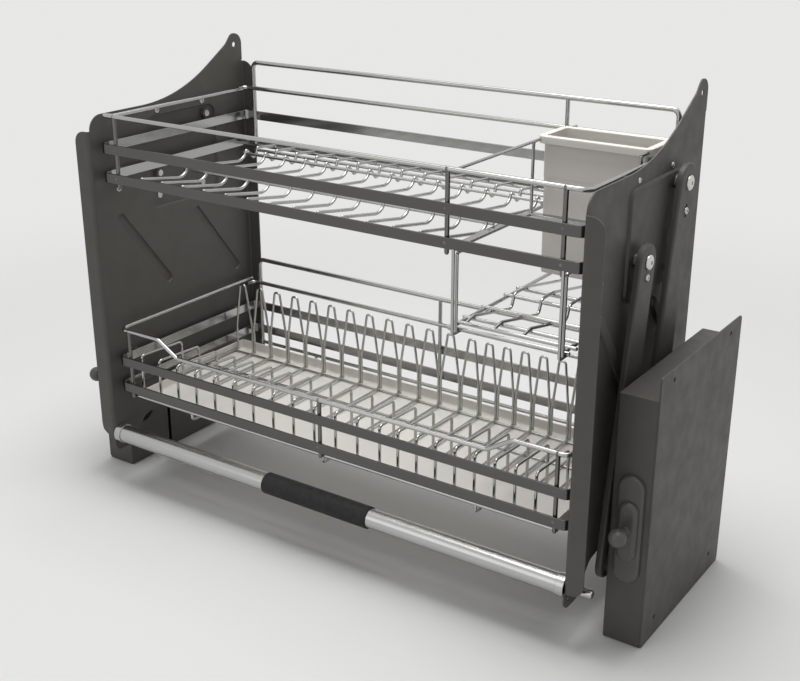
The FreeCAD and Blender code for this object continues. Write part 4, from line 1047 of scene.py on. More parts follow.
@dataclass(frozen=True)
class SidePanel:
    """One pressed panel with its turned edges, raised pad and ribs.

    The shell is the inner face of the sheet. Its faces look at the rack's middle, and the sheet's
    thickness goes outwards from it.
    """

    side: Side
    inner_x: float = PANEL_X
    front_y: float = -197.0
    rear_y: float = PANEL_REAR_Y
    bend: float = 4.5
    flange_edge_x: float = 337.0
    flange_corner: float = 14.0
    foot_z: float = 66.0
    rear_bend: float = 1.6
    rear_edge_x: float = 298.0
    pad: tuple[float, float, float, float] = (-104.0, 18.0, 340.0, 455.5)
    pad_height: float = 3.0
    rib_height: float = 2.5
    rib_width: float = 13.0
    ribs: tuple[tuple[Point2, Point2], ...] = (((-156, 341), (-84, 247)), ((-26, 322), (44, 230)))

    def bend_y(self) -> float:
        """Where the front bend starts."""
        return self.front_y + self.bend

    def rear_start_y(self) -> float:
        """Where the rear bend starts."""
        return self.rear_y - SHEET - self.rear_bend

    def edge(self) -> tuple[list[Point2], list[float], list[float]]:
        """The flat sheet's outline, and its points' heights along the front and rear bends."""
        front, rear = self.bend_y(), self.rear_start_y()
        corners = [(front, self.foot_z, 0), (front, 470, 17.9), (-46.1, 470, 225), (44, 525, 25),
                   (54.5, 537, 9), (73.6, 537, 13.7), (73.6, 503, 1), (rear, 501, 0),
                   (rear, 88, 17), (-120, 81, 40), (-143, 77, 12), (-168, 46, 12),
                   (self.front_y, 46, 10), (self.front_y, self.foot_z, 1.5)]
        outline = without_repeats(rounded(corners, 16))
        points: list[Point2] = []
        rows: dict[float, list[float]] = {}
        for (y, z), (next_y, next_z) in zip(outline, outline[1:] + outline[:1]):
            points.append((y, z))
            if abs(y - next_y) < 0.001 and abs(z - next_z) > 100:
                rows[y] = [z + (next_z - z) * i / 24 for i in range(25)]
                points += [(y, row) for row in rows[y][1:-1]]
        return points, rows[front], rows[rear][::-1]

    def relief(self) -> list[tuple[Outline, float]]:
        """Each pressed shape: its outline at an inset, and its height."""
        y0, y1, z0, z1 = self.pad
        shapes: list[tuple[Outline, float]] = [
            (lambda inset: rounded_box(y0, y1, z0, z1, 14.0, inset, 8), self.pad_height)]
        for a, b in self.ribs:
            shapes.append((lambda inset, a=a, b=b: capsule(a, b, self.rib_width, inset, 10),
                           self.rib_height))
        return shapes

    def holes(self) -> list[list[Point2]]:
        """The round holes of the flat sheet."""
        return [circle((-187.0, 55.0), 2.5, 20), circle((59.6, 523.0), 3.25, 20)]

    def face(self) -> Shell:
        """The whole inner face."""
        shell = Shell()
        edge, front_rows, rear_rows = self.edge()
        shapes = self.relief()
        loops = [edge] + self.holes() + [outline(0.0) for outline, _ in shapes]
        shell.flat([[(self.inner_x, y, z) for y, z in loop] for loop in loops])
        for outline, height in shapes:
            self.dish(shell, outline, height)
        self.front_flange(shell, front_rows)
        self.rear_flange(shell, rear_rows)
        return shell

    def dish(self, shell: Shell, outline: Outline, height: float) -> None:
        """Adds one pressed shape with a steep wall and tight roundings."""
        run = height * 0.75
        profile = ((0.0, 0.0), (0.1, 0.02), (0.2, 0.09), (0.32, 0.24), (0.68, 0.76), (0.8, 0.91),
                   (0.9, 0.98), (1.0, 1.0))
        rings = [[(self.inner_x + height * rise, y, z) for y, z in outline(run * way)]
                 for way, rise in profile]
        shell.loft(rings)
        shell.flat([rings[-1]])

    def front_flange(self, shell: Shell, stations: Sequence[float]) -> None:
        """Adds the flange turned outwards, whose outer corners are rounded."""
        x0, y0, r, corner = self.inner_x, self.front_y, self.bend, self.flange_corner
        turns = quarter(8)
        places = [(x0 + r * inward, y0 + r * down, 0.0) for inward, down in turns]
        places += [(self.flange_edge_x - corner * down, y0, corner * inward)
                   for inward, down in turns]
        low, top = stations[0], stations[-1]
        rows = []
        for x, y, drop in places:
            share = (top - low - 2 * drop) / (top - low)
            rows.append([(x, y, low + drop + (z - low) * share) for z in stations])
        shell.loft(rows, closed=False)

    def rear_flange(self, shell: Shell, stations: Sequence[float]) -> None:
        """Adds the flange turned inwards, whose top is rounded off towards its edge."""
        x0, r = self.inner_x, self.rear_bend
        y1 = self.rear_y - SHEET
        places = [(x0 - r * inward, y1 - r * down, 0.0) for inward, down in quarter(5)]
        reach = x0 - r - self.rear_edge_x
        places += [(self.rear_edge_x + reach * down, y1, reach * inward)
                   for inward, down in quarter(10, 1)]
        low, top = stations[0], stations[-1]
        rows = []
        for x, y, drop in places:
            foot = low - 0.8 * min(reach, x0 - x) + drop
            rows.append([(x, y, foot + (top - drop - foot) * (z - low) / (top - low))
                         for z in stations])
        shell.loft(rows, closed=False)

    def build(self, kit: Kit) -> None:
        """Makes the panel."""
        face = facing(self.face().on(self.side), -self.side.value)
        kit.sheet(f"pressed_panel_{self.side.word}", face, SHEET, GREY_PAINT, "rack",
                  [f"side_panel_{self.side.word}"])


def without_repeats(points: Sequence[Point2]) -> list[Point2]:
    """A closed outline without points that repeat the one before."""
    kept: list[Point2] = []
    for point in points:
        if not kept or math.dist(point, kept[-1]) > 0.02:
            kept.append(point)
    while math.dist(kept[0], kept[-1]) <= 0.02:
        kept.pop()
    return kept


@dataclass(frozen=True)
class PanelScrews:
    """The bright screws on the panels' inner faces, with their riveted ends outside."""

    places: tuple[Point2, ...] = ((-85, 461), (-6, 461), (-156, 378), (-87, 355), (-9, 356))

    def build(self, kit: Kit) -> None:
        """Makes all of them as one piece."""
        head = HeadShape(4.0, 2.0, 2.2, 1.3, 1.0)
        rivet = HeadShape(3.0, 1.5, 1.6, 0.8, 0.5)
        heads, rivets = [], []
        for side in Side:
            s = side.value
            for y, z in self.places:
                inside = PANEL_X + (3.0 if z < 380 and y > -104 else 0.0)
                heads.append(((s * inside, y, z), (-s, 0.0, 0.0)))
                rivets.append(((s * (inside + SHEET), y, z), (s, 0.0, 0.0)))
        kit.wired("panel_screw_heads", head.draw("heads", heads, STEEL),
                  rivet.draw("rivets", rivets, STEEL), replaces=["panel_screws"])


# Handle


@dataclass(frozen=True)
class Handle:
    """The cross tube with its grip, end rings and bright end pins."""

    y: float = -187.0
    z: float = 69.0
    reach: float = PANEL_X
    tube_radius: float = 11.0
    grip_radius: float = 12.6
    grip_half: float = 74.0

    def turned(self, profile: Sequence[Point2], sides: int = 56) -> Shell:
        """A shape turned on the handle's axis."""
        shell = Shell()
        shell.lathe(profile, "x", (0.0, self.y, self.z), sides)
        return shell

    def build(self, kit: Kit) -> None:
        """Makes the handle's pieces."""
        r = self.tube_radius
        half = self.reach
        stations = [-half + 2 * half * i / 30 for i in range(31)]
        kit.solid("handle_bar", self.turned([(x, r) for x in stations], 64), TUBE_METAL, "rack",
                  ["handle_tube", "handle_plugs"])
        g = self.grip_radius
        h = self.grip_half
        ends = [(0.0, r + 0.05), (0.15, g - 0.9), (0.5, g - 0.35), (1.2, g)]
        profile = [(-h + a, b) for a, b in ends]
        profile += [(-h + 2 + (2 * h - 4) * i / 20, g) for i in range(21)]
        profile += [(h - a, b) for a, b in reversed(ends)]
        kit.solid("handle_sleeve", self.turned(profile, 72), GRIP_RUBBER, "rack", ["handle_grip"])
        ring = [(half - 9.5, r + 0.05), (half - 9.4, 11.8), (half - 9.0, 12.2), (half - 0.6, 12.2),
                (half - 0.1, 11.8), (half, r + 0.05)]
        for side in Side:
            shell = self.turned(ring).on(side)
            kit.solid(f"handle_end_ring_{side.word}", shell, TUBE_METAL, "rack",
                      ["handle_ferrules"] if side is Side.RIGHT else [])
        pin = [(317.0, 5.2), (317.2, 5.4), (318.7, 5.4), (319.0, 5.2), (319.05, 4.6), (341.8, 4.6),
               (342.6, 4.3), (343.0, 3.5)]
        for side in Side:
            kit.solid(f"handle_pin_{side.word}", self.turned(pin, 36).on(side), STEEL, "rack",
                      ["handle_pins"] if side is Side.RIGHT else [])


# Baskets


@dataclass(frozen=True)
class BasketSizes:
    """Sizes that both baskets share."""

    band_x: float = 311.0
    front_y: float = -184.5
    rear_y: float = 72.0
    thickness: float = 2.5
    height: float = 11.5
    corner: float = 7.0
    wire_front_y: float = -180.0
    wire_rear_y: float = 67.0
    side_wire_x: float = 306.5
    split: float = 12.0

    def mid_x(self) -> float:
        """The bands' middle line at the sides."""
        return self.band_x - self.thickness / 2

    def band_end(self, tops: Sequence[float], front: bool) -> list[list[Point3]]:
        """The middle lines of the front or rear bands, with their corners."""
        x = self.mid_x()
        y = self.front_y + self.thickness / 2 if front else self.rear_y - self.thickness / 2
        back = y + self.split if front else y - self.split
        lines = []
        for top in tops:
            z = top - self.height / 2
            lines.append([(-x, back, z), (-x, y, z), (x, y, z), (x, back, z)])
        return lines

    def band_sides(self, side: Side, tops: Sequence[float]) -> list[list[Point3]]:
        """The middle lines of one side's bands."""
        x = side.value * self.mid_x()
        y0 = self.front_y + self.thickness / 2 + self.split
        y1 = self.rear_y - self.thickness / 2 - self.split
        return [[(x, y0, top - self.height / 2), (x, y1, top - self.height / 2)] for top in tops]

    def draw(self, name: str, lines: Sequence[Sequence[Point3]],
             finish: Finish = BRIGHT_BAND) -> Mesh:
        """Draws bands along middle lines."""
        return draw_bands(name, lines, finish, self.thickness, self.height, self.corner)

    def side_rails(self, kit: Kit, side: Side, word: str, tops: Sequence[float],
                   wire_z: float) -> None:
        """Makes one side of a basket: bands, top wire and the bosses that meet the panel."""
        s = side.value
        wires = WireWork()
        x = s * self.side_wire_x
        wires.wire((x, self.wire_front_y + 12.0, wire_z), (x, self.wire_rear_y - 4.0, wire_z))
        bosses = Shell()
        for top in tops:
            z = top - self.height / 2
            for y in (-150.5, 38.0):
                bosses.lathe([(310.6, 5.2), (310.8, 5.3), (315.3, 5.3), (315.45, 5.1)], "x",
                             (0.0, y, z), 28)
        kit.wired(f"{word}_rails_{side.word}", self.draw("bands", self.band_sides(side, tops)),
                  wires.draw("wire", BRIGHT_WIRE, 2.5),
                  bosses.on(side).mesh("bosses", finish=STEEL),
                  replaces=[f"{word}_basket_side_{side.word}"])


@dataclass(frozen=True)
class RearFrame:
    """A basket's rear: bands, a second rail and the raised rail with bent-down ends."""

    word: str
    tops: tuple[float, float]
    rail_z: float
    second_z: float
    half: float
    posts: tuple[float, ...]
    low_z: float
    base_z: float | None = None

    def build(self, kit: Kit, sizes: BasketSizes) -> None:
        """Makes the rear frame as one piece."""
        y = sizes.wire_rear_y
        rails = WireWork()
        rails.wire((-self.half, y, self.low_z), (-self.half, y, self.rail_z),
                   (self.half, y, self.rail_z), (self.half, y, self.low_z), ends=True)
        x = sizes.side_wire_x
        second = WireWork()
        second.wire((-x, y - 14.0, self.second_z), (-x, y - 0.5, self.second_z),
                    (x, y - 0.5, self.second_z), (x, y - 14.0, self.second_z))
        posts = WireWork()
        for post in self.posts:
            posts.wire((post, y - 0.2, self.low_z), (post, y - 0.2, self.rail_z - 0.5), ends=True)
            posts.weld((post, y, self.rail_z), size=1.3)
        for top in self.tops:
            z = top - sizes.height / 2
            for post in self.posts + (-self.half, self.half):
                posts.weld((post, sizes.rear_y - sizes.thickness, z), size=1.2)
        parts = [sizes.draw("bands", sizes.band_end(self.tops, front=False)),
                 rails.draw("rails", BRIGHT_WIRE, 3.0, bend=8.0),
                 second.draw("second", BRIGHT_WIRE, 2.8, bend=8.0)]
        if self.base_z is not None:
            posts.wire((-self.half - 3, y, self.base_z), (self.half + 3, y, self.base_z), ends=True)
        parts.append(posts.draw("posts", BRIGHT_WIRE, 2.4))
        kit.wired(f"{self.word}_rear_frame", *parts, replaces=[f"{self.word}_basket_rear"])


@dataclass(frozen=True)
class UpperBasket:
    """The upper basket with its waved floor, divider and cutlery box hangers."""

    sizes: BasketSizes = BasketSizes()
    tops: tuple[float, float] = (438.3, 404.0)
    wire_z: float = 470.3
    uprights: tuple[float, ...] = (-288.5, 163.0, 288.5)
    low_z: float = 387.5
    bowl_first: float = -254.0
    bowl_pitch: float = 32.0
    bowl_count: int = 14
    bowl_radius: float = 1.85
    ridges: tuple[float, ...] = (-102.0, 3.5, 26.0)
    sweep: float = 15.0
    dip_z: float = 392.0
    ridge_z: float = 402.5
    floor_front_y: float = -174.95
    floor_rear_y: float = 61.95
    hanger_xs: Point2 = (175.0, 295.0)
    hanger_z: float = 472.0
    hanger_post: Point2 = (-32.7, 397.0)
    bars: tuple[tuple[float, ...], ...] = ((169.0, 178.0, -177.0, -39.5),
                                           (168.95, 308.4, -40.0, -31.0))

    def front(self, kit: Kit) -> None:
        """Makes the front: top wire, bands and uprights."""
        sizes = self.sizes
        y = sizes.wire_front_y
        x = sizes.side_wire_x
        wires = WireWork()
        wires.wire((-x, y + 14.0, self.wire_z - 3.0), (-x, y, self.wire_z), (x, y, self.wire_z),
                   (x, y + 14.0, self.wire_z - 3.0))
        ups = WireWork()
        for u in self.uprights:
            ups.wire((u, y + 0.5, self.low_z), (u, y + 0.5, self.wire_z), ends=True)
            ups.weld((u, y, self.wire_z), size=1.15)
            for top in self.tops:
                ups.weld((u, sizes.front_y + sizes.thickness, top - 5.75), size=1.2)
        kit.wired("upper_front_frame",
                  # the front bands take the band steel darkened with painted shade
                  sizes.draw("bands", sizes.band_end(self.tops, front=True), PAINTED_SHADE_BAND),
                  wires.draw("wire", BRIGHT_WIRE, 2.5, bend=6.0),
                  # the uprights take the wire steel darkened with painted shade
                  ups.draw("uprights", PAINTED_SHADE_WIRE, 2.45), replaces=["upper_basket_front"])

    def bowl_line(self, x: float) -> list[Point3]:
        """One bowl wire's path, which steps up over each ridge's cross rod."""
        rise = self.ridge_z - self.dip_z
        path = [(x, self.floor_front_y - 1, self.ridge_z - 0.6)]
        for y in self.ridges:
            run = self.sweep if y < self.ridges[2] else 0.6 * self.sweep
            for y_share, z_share in arc((-1.0, 1.0), 1.0, -math.pi / 2, math.radians(78), 8):
                path.append((x, y + (y_share + 1.0) * run - run, self.dip_z + z_share * rise))
            path += [(x, y + 0.8, self.ridge_z + 0.4), (x, y + 3.0, self.ridge_z - 0.4)]
        return path + [(x, self.floor_rear_y + 1, self.ridge_z - 4)]

    def floor(self, kit: Kit) -> None:
        """Makes the floor: the bowl wires, alike and evenly spaced, on their cross rods."""
        bowls = WireWork()
        rods = WireWork()
        xs = [self.bowl_first + self.bowl_pitch * i for i in range(self.bowl_count)]
        drop = self.bowl_radius + 1.5
        places = [(self.floor_front_y, self.ridge_z - drop),
                  (self.floor_rear_y, self.ridge_z - 4 - drop)]
        places += [(y + 0.5, self.ridge_z - drop) for y in self.ridges]
        for x in xs:
            bowls.wire(*self.bowl_line(x), ends=True)
            for y, z in places:
                rods.weld((x, y, z + 1.6), size=1.1)
        for y, z in places:
            start = -258.0 if (z > 399 and y > -110) else -308.4
            rods.wire((start, y, z), (168.9, y, z), ends=True)
        kit.wired("bowl_floor", bowls.draw("bowls", BRIGHT_WIRE, self.bowl_radius, bend=1.5,
                                           sides=12, bend_steps=3),
                  rods.draw("rods", BRIGHT_WIRE, 2.0, sides=12), replaces=["upper_basket_floor"])

    def divider(self, kit: Kit) -> None:
        """Makes the rods that part off and carry the cutlery box, and the floor-level bars."""
        y0 = self.sizes.wire_front_y + 2.5
        y1 = self.sizes.wire_rear_y - 3.0
        left, right = self.hanger_xs
        post_y, post_z = self.hanger_post
        rods = WireWork()
        rods.wire((left, y0, self.hanger_z), (left, y1, self.hanger_z))
        rods.wire((right, post_y - 1.7, self.hanger_z), (right, y1, self.hanger_z))
        for x in self.hanger_xs:
            rods.wire((x, post_y, post_z), (x, post_y, self.hanger_z - 1.6))
            rods.weld((x, post_y, self.hanger_z - 0.8), (x, post_y, post_z), size=1.3)
        rail = WireWork()
        rail.wire((left - 4.0, -31.0, post_z - 2.0), (left - 4.0, y1, post_z - 2.0))
        bars = Shell()
        for x0, x1, y0, y1 in self.bars:
            outline = lambda inset: rounded_box(x0, x1, y0, y1, 0.8, inset, 3)
            plate(bars, outline, [], (post_z - 3.0, post_z), 0.5, lambda a, b, level: (a, b, level))
        kit.wired("divider_rods", rods.draw("rods", BRIGHT_WIRE, 1.7),
                  rail.draw("rail", BRIGHT_WIRE, 2.0), bars.mesh("bars", finish=BRIGHT_BAND),
                  replaces=["upper_basket_divider"])

    def build(self, kit: Kit) -> None:
        """Makes the whole basket."""
        self.front(kit)
        RearFrame("upper", self.tops, 501.5, 468.5, 291.0, (162.0,), 394.0).build(kit, self.sizes)
        for side in Side:
            self.sizes.side_rails(kit, side, "upper", self.tops, 467.0)
        self.floor(kit)
        self.divider(kit)


@dataclass(frozen=True)
class SmallRack:
    """The small bowl rack hung under the upper basket at the right."""

    z: float = 308.9
    left: float = 163.0
    right: float = 287.5
    rods: tuple[float, ...] = (-172.3, -157.0, -140.5, -103.5, -57.0, -30.0, 61.0)
    waves: tuple[float, ...] = (172.2, 204.9, 237.6)
    crest: float = 312.3
    dip: float = 296.9

    def build(self, kit: Kit) -> None:
        """Makes the grid and its hangers."""
        grid = WireWork()
        for x in (self.left, self.right):
            grid.wire((x, self.rods[0], self.z - 2.2), (x, self.rods[-1], self.z - 2.2), ends=True)
            for y in self.rods:
                grid.weld((x, y, self.z - 0.6), size=1.05)
        for y in self.rods:
            grid.wire((self.left - 2, y, self.z), (self.right + 8, y, self.z), ends=True)
        waves = WireWork()
        path = ((-158.0, self.z), (-140.5, self.crest), (-63.0, self.dip), (-57.0, self.crest),
                (-30.0, self.crest), (53.0, self.dip), (59.0, self.crest), (69.5, self.crest))
        for x in self.waves:
            waves.wire(*[(x, y, z) for y, z in path], ends=True)
        kit.wired("small_bowl_rack", grid.draw("grid", BRIGHT_WIRE, 2.15),
                  waves.draw("waves", BRIGHT_WIRE, 1.7, bend=7.0, bend_steps=6),
                  replaces=["small_rack_grid"])
        hangers = WireWork()
        foot = 305.05
        for x, rear_x in ((173.0, 179.0), (291.5, 291.5)):
            hangers.wire((x, -183.25, 392.4), (x, -183.25, foot), (x, -168.3, foot), ends=True)
            hangers.wire((x, -176.25, foot), (x, -176.25, 388.0), (x, -167.25, 388.0), ends=True)
            hangers.wire((rear_x, 70.75, 392.4), (rear_x, 70.75, foot), (rear_x, 57.0, foot),
                         ends=True)
        kit.add("small_rack_hanger_wires", hangers.draw("hangers", BRIGHT_WIRE, 1.7, bend=3.0),
                BRIGHT_WIRE, "rack", ["small_rack_hangers"])


@dataclass(frozen=True)
class LowerBasket:
    """The lower basket's frame, with a dip in its front wire."""

    sizes: BasketSizes = BasketSizes()
    tops: tuple[float, float] = (173.0, 139.0)
    wire_z: float = 207.5
    dip_z: float = 189.5
    dip_half: float = 214.0
    slope: float = 30.0
    base_z: float = 121.0
    base_y: float = -174.9
    rear_rod_z: float = 115.45
    uprights: tuple[float, ...] = (-294.0, 0.0, 294.0)

    def front(self, kit: Kit) -> None:
        """Makes the front: dipped wire, bands, uprights and base rod."""
        sizes = self.sizes
        y = sizes.wire_front_y
        x = sizes.side_wire_x
        out = self.dip_half + self.slope
        wire = WireWork()
        wire.wire((-x, y + 14.0, self.wire_z + 0.9), (-x, y, self.wire_z), (-out, y, self.wire_z),
                  (-self.dip_half, y, self.dip_z), (self.dip_half, y, self.dip_z),
                  (out, y, self.wire_z), (x, y, self.wire_z), (x, y + 14.0, self.wire_z + 0.9))
        ups = WireWork()
        for u in self.uprights:
            top = self.dip_z if u == 0.0 else self.wire_z
            ups.wire((u, y + 0.5, self.base_z), (u, y + 0.5, top), ends=True)
            ups.weld((u, y, top), size=1.15)
            for band in self.tops:
                ups.weld((u, sizes.front_y + sizes.thickness, band - 5.75), size=1.2)
        base = WireWork()
        base.wire((-294.0, self.base_y, self.base_z), (294.0, self.base_y, self.base_z), ends=True)
        kit.wired("lower_front_frame",
                  # the front bands take the band steel darkened with painted shade
                  sizes.draw("bands", sizes.band_end(self.tops, front=True), PAINTED_SHADE_BAND),
                  # the uprights, not the front wire, take the wire steel darkened with painted
                  # shade
                  wire.draw("wire", BRIGHT_WIRE, 2.5, bend=8.0), ups.draw("ups", PAINTED_SHADE_WIRE, 2.4),
                  base.draw("base", BRIGHT_WIRE, 2.5), replaces=["lower_basket_front"])

    def supports(self, kit: Kit) -> None:
        """Makes the bent wires under the tray."""
        wires = WireWork()
        for x in (-200.0, 0.0, 200.0):
            wires.wire((x, self.base_y, 118.4), (x, self.base_y, 111.1), (x, 68.8, 111.1))
            wires.weld((x, self.base_y, 117.8), size=1.2)
        kit.add("tray_support_wires", wires.draw("supports", BRIGHT_WIRE, 1.8), BRIGHT_WIRE, "rack",
                ["tray_supports"])

    def build(self, kit: Kit) -> None:
        """Makes the whole frame."""
        self.front(kit)
        RearFrame("lower", self.tops, 236.0, 202.5, 294.0, (0.0,), self.rear_rod_z,
                  self.rear_rod_z).build(kit, self.sizes)
        for side in Side:
            self.sizes.side_rails(kit, side, "lower", self.tops, 208.5)
        self.supports(kit)


@dataclass(frozen=True)
class PlateHolder:
    """Hoops, pegs and floor wires that hold plates on edge."""

    first: float = -285.0
    plate_pitch: float = 30.0
    plate_slots: int = 12
    saucer_pitch: float = 24.0
    saucer_slots: int = 8
    hoop_front_y: float = -170.5
    hoop_rear_y: float = -100.5
    hoop_top_z: float = 174.5
    hoop_rear_z: float = 171.0
    gather_z: float = 155.0
    peg_y: float = 20.0
    peg_top_z: float = 215.0
    run_z: float = 119.0
    hoop_radius: float = 1.65
    peg_radius: float = 1.5

    def xs(self) -> list[float]:
        """Where the hoops and pegs stand."""
        xs = [self.first + self.plate_pitch * i for i in range(self.plate_slots + 1)]
        return xs + [xs[-1] + self.saucer_pitch * (i + 1) for i in range(self.saucer_slots)]

    def runs(self) -> list[float]:
        """Where the floor wires lie: half way between the pegs, and outside the end ones."""
        xs = self.xs()
        middles = [(a + b) / 2 for a, b in zip(xs, xs[1:])]
        return [xs[0] - self.plate_pitch / 2] + middles + [xs[-1] + self.saucer_pitch / 2]

    def build(self, kit: Kit) -> None:
        """Makes the hoops, the pegs and the floor grid."""
        hoops = WireWork()
        cross_z = 116.5
        for x in self.xs():
            hoops.wire((x, self.hoop_front_y, 118.8), (x, self.hoop_front_y, self.hoop_top_z),
                       (x, self.hoop_rear_y, self.hoop_rear_z), (x, self.hoop_rear_y, 117.8),
                       ends=True)
            hoops.weld((x, self.hoop_rear_y, 118.0), size=1.25)
        row = hoops.draw("hoops", BRIGHT_WIRE, self.hoop_radius, bend=5.0, bend_steps=8)
        kit.add("plate_hoop_row", row, BRIGHT_WIRE, "plate_holder", ["plate_hoops"])
        pegs = WireWork()
        runs = self.runs()
        top = self.peg_top_z - self.peg_radius
        for x, left, right in zip(self.xs(), runs, runs[1:]):
            a, b, y = left + 1.7, right - 1.7, self.peg_y
            pegs.wire((a, y, self.run_z), (a, y, self.gather_z), (x - 4.0, y, top),
                      (x + 4.0, y, top), (b, y, self.gather_z), (b, y, self.run_z))
            pegs.weld((a, y, self.run_z + 0.6), (b, y, self.run_z + 0.6), size=1.2)
        kit.add("plate_peg_row", pegs.draw("pegs", BRIGHT_WIRE, self.peg_radius, bend=3.4),
                BRIGHT_WIRE, "plate_holder", ["plate_pegs"])
        grid = WireWork()
        ys = (self.hoop_rear_y, -40.0, self.peg_y - 3)
        for x in runs:
            grid.wire((x, self.hoop_rear_y - 1.4, self.run_z), (x, self.peg_y + 1.2, self.run_z),
                      ends=True)
            for y in ys:
                grid.weld((x, y, self.run_z - 1.2), size=1.1)
        for y in ys:
            grid.wire((runs[0] - 0.8, y, cross_z), (runs[-1] + 0.8, y, cross_z), ends=True)
        kit.add("plate_grid_wires", grid.draw("grid", BRIGHT_WIRE, 1.45), BRIGHT_WIRE,
                "plate_holder", ["plate_floor_grid"])


# Plastic pieces


@dataclass(frozen=True)
class DripTray:
    """The white tray under the plates, narrower in front, with a rolled rim."""

    half: float = 303.7
    front_half: float = 290.0
    step_y: float = -108.0
    front_y: float = -165.0
    rear_y: float = 36.0
    floor_z: float = 115.0
    wall: float = 1.8
    top: float = 127.0
    corner: float = 4.0

    def outline(self, inset: float) -> list[Point2]:
        """The wall's stepped outline at an inset."""
        r = max(self.corner - inset, 0.15)
        wide, narrow = self.half - inset, self.front_half - inset
        front, step, rear = self.front_y + inset, self.step_y + inset, self.rear_y - inset
        return rounded([(-narrow, front, r), (narrow, front, r), (narrow, step, 1 + inset),
                        (wide, step, r), (wide, rear, r), (-wide, rear, r), (-wide, step, r),
                        (-narrow, step, 1 + inset)], 6)

    def build(self, kit: Kit) -> None:
        """Makes the tray."""
        shell = Shell()
        w = self.wall
        under = self.floor_z - w
        rings = []
        for inward, down in quarter(4):
            rings.append([(x, y, under + 2.5 * inward) for x, y in self.outline(2.5 * down)])
        for inset, drop in ((0.0, 0.8), (0.25, 0.2), (0.9, 0.0), (1.55, 0.2), (w, 0.8)):
            rings.append([(x, y, self.top - drop) for x, y in self.outline(inset)])
        for inward, down in quarter(4):
            rings.append([(x, y, self.floor_z + 2.2 * down)
                          for x, y in self.outline(w + 2.2 * inward)])
        made = shell.loft(rings)
        shell.fill(list(reversed(made[0])))
        shell.fill(made[-1])
        kit.solid("white_drip_tray", shell, WHITE_PLASTIC, "drip_tray", ["drip_tray"], sharp=40.0)


@dataclass(frozen=True)
class CutleryBox:
    """The white cutlery box, hung by its rim, with drain holes in its base."""

    left: float = 171.0
    right: float = 299.0
    front: float = -20.0
    rear: float = 42.0
    top: float = 476.0
    rim: float = 8.0
    overhang: float = 6.0
    base: float = 325.0
    wall: float = 2.0
    draft: float = 1.6
    hole_radius: float = 2.6
    hole_first: Point2 = (20.0, 17.0)
    hole_span: Point2 = (88.0, 28.0)
    hole_counts: tuple[int, int] = (6, 3)

    def outline(self, inset: float, corner: float = 9.0) -> list[Point2]:
        """The rim's outline, moved in."""
        return rounded_box(self.left, self.right, self.front, self.rear, corner, inset, 6)

    def build(self, kit: Kit) -> None:
        """Makes the box."""
        shell = Shell()
        o, w = self.overhang, self.wall
        draft, base, top, rim_z = self.draft, self.base, self.top, self.top - self.rim
        levels = [(o + draft + 3.0, base), (o + draft + 0.9, base + 0.9), (o + draft, base + 3.0),
                  (o + 0.5, top - 46.0), (o + 0.2, top - 44.5), (o, top - 44.0),
                  (o, top - w - 0.6), (w + 0.6, top - w - 0.3), (w, top - w - 0.9),
                  (w, rim_z + 0.4), (w - 0.5, rim_z), (0.5, rim_z), (0.0, rim_z + 0.5),
                  (0.0, top - 1.6), (0.5, top - 0.5), (1.6, top), (o + w - 1.0, top),
                  (o + w - 0.2, top - 0.4), (o + w, top - 1.2), (o + w, top - 44.5),
                  (o + w + 0.5, top - 45.5), (o + w + draft, base + w + 3.0),
                  (o + w + draft + 0.9, base + w + 0.9)]
        made = shell.loft([[(x, y, z) for x, y in self.outline(inset)] for inset, z in levels])
        inner = [(x, y, base + w) for x, y in self.outline(o + w + draft + 3.0)]
        outer = [(x, y, base) for x, y in self.outline(o + draft + 3.0)]
        shell.bridge(made[-1], shell.ring(inner))
        (x0, y0), (span_x, span_y) = self.hole_first, self.hole_span
        columns, rows = self.hole_counts
        holes = [circle((self.left + x0 + span_x * i / (columns - 1),
                         self.front + y0 + span_y * j / (rows - 1)), self.hole_radius, 14)
                 for i in range(columns) for j in range(rows)]
        for z, loop in ((base + w, inner), (base, outer)):
            shell.flat([loop] + [[(x, y, z) for x, y in hole] for hole in holes])
        for hole in holes:
            shell.loft([[(x, y, z) for x, y in hole] for z in (base, base + w)])
        kit.solid("white_cutlery_box", shell, WHITE_PLASTIC, "cutlery_box", ["cutlery_box"],
                  sharp=40.0)


# Surroundings


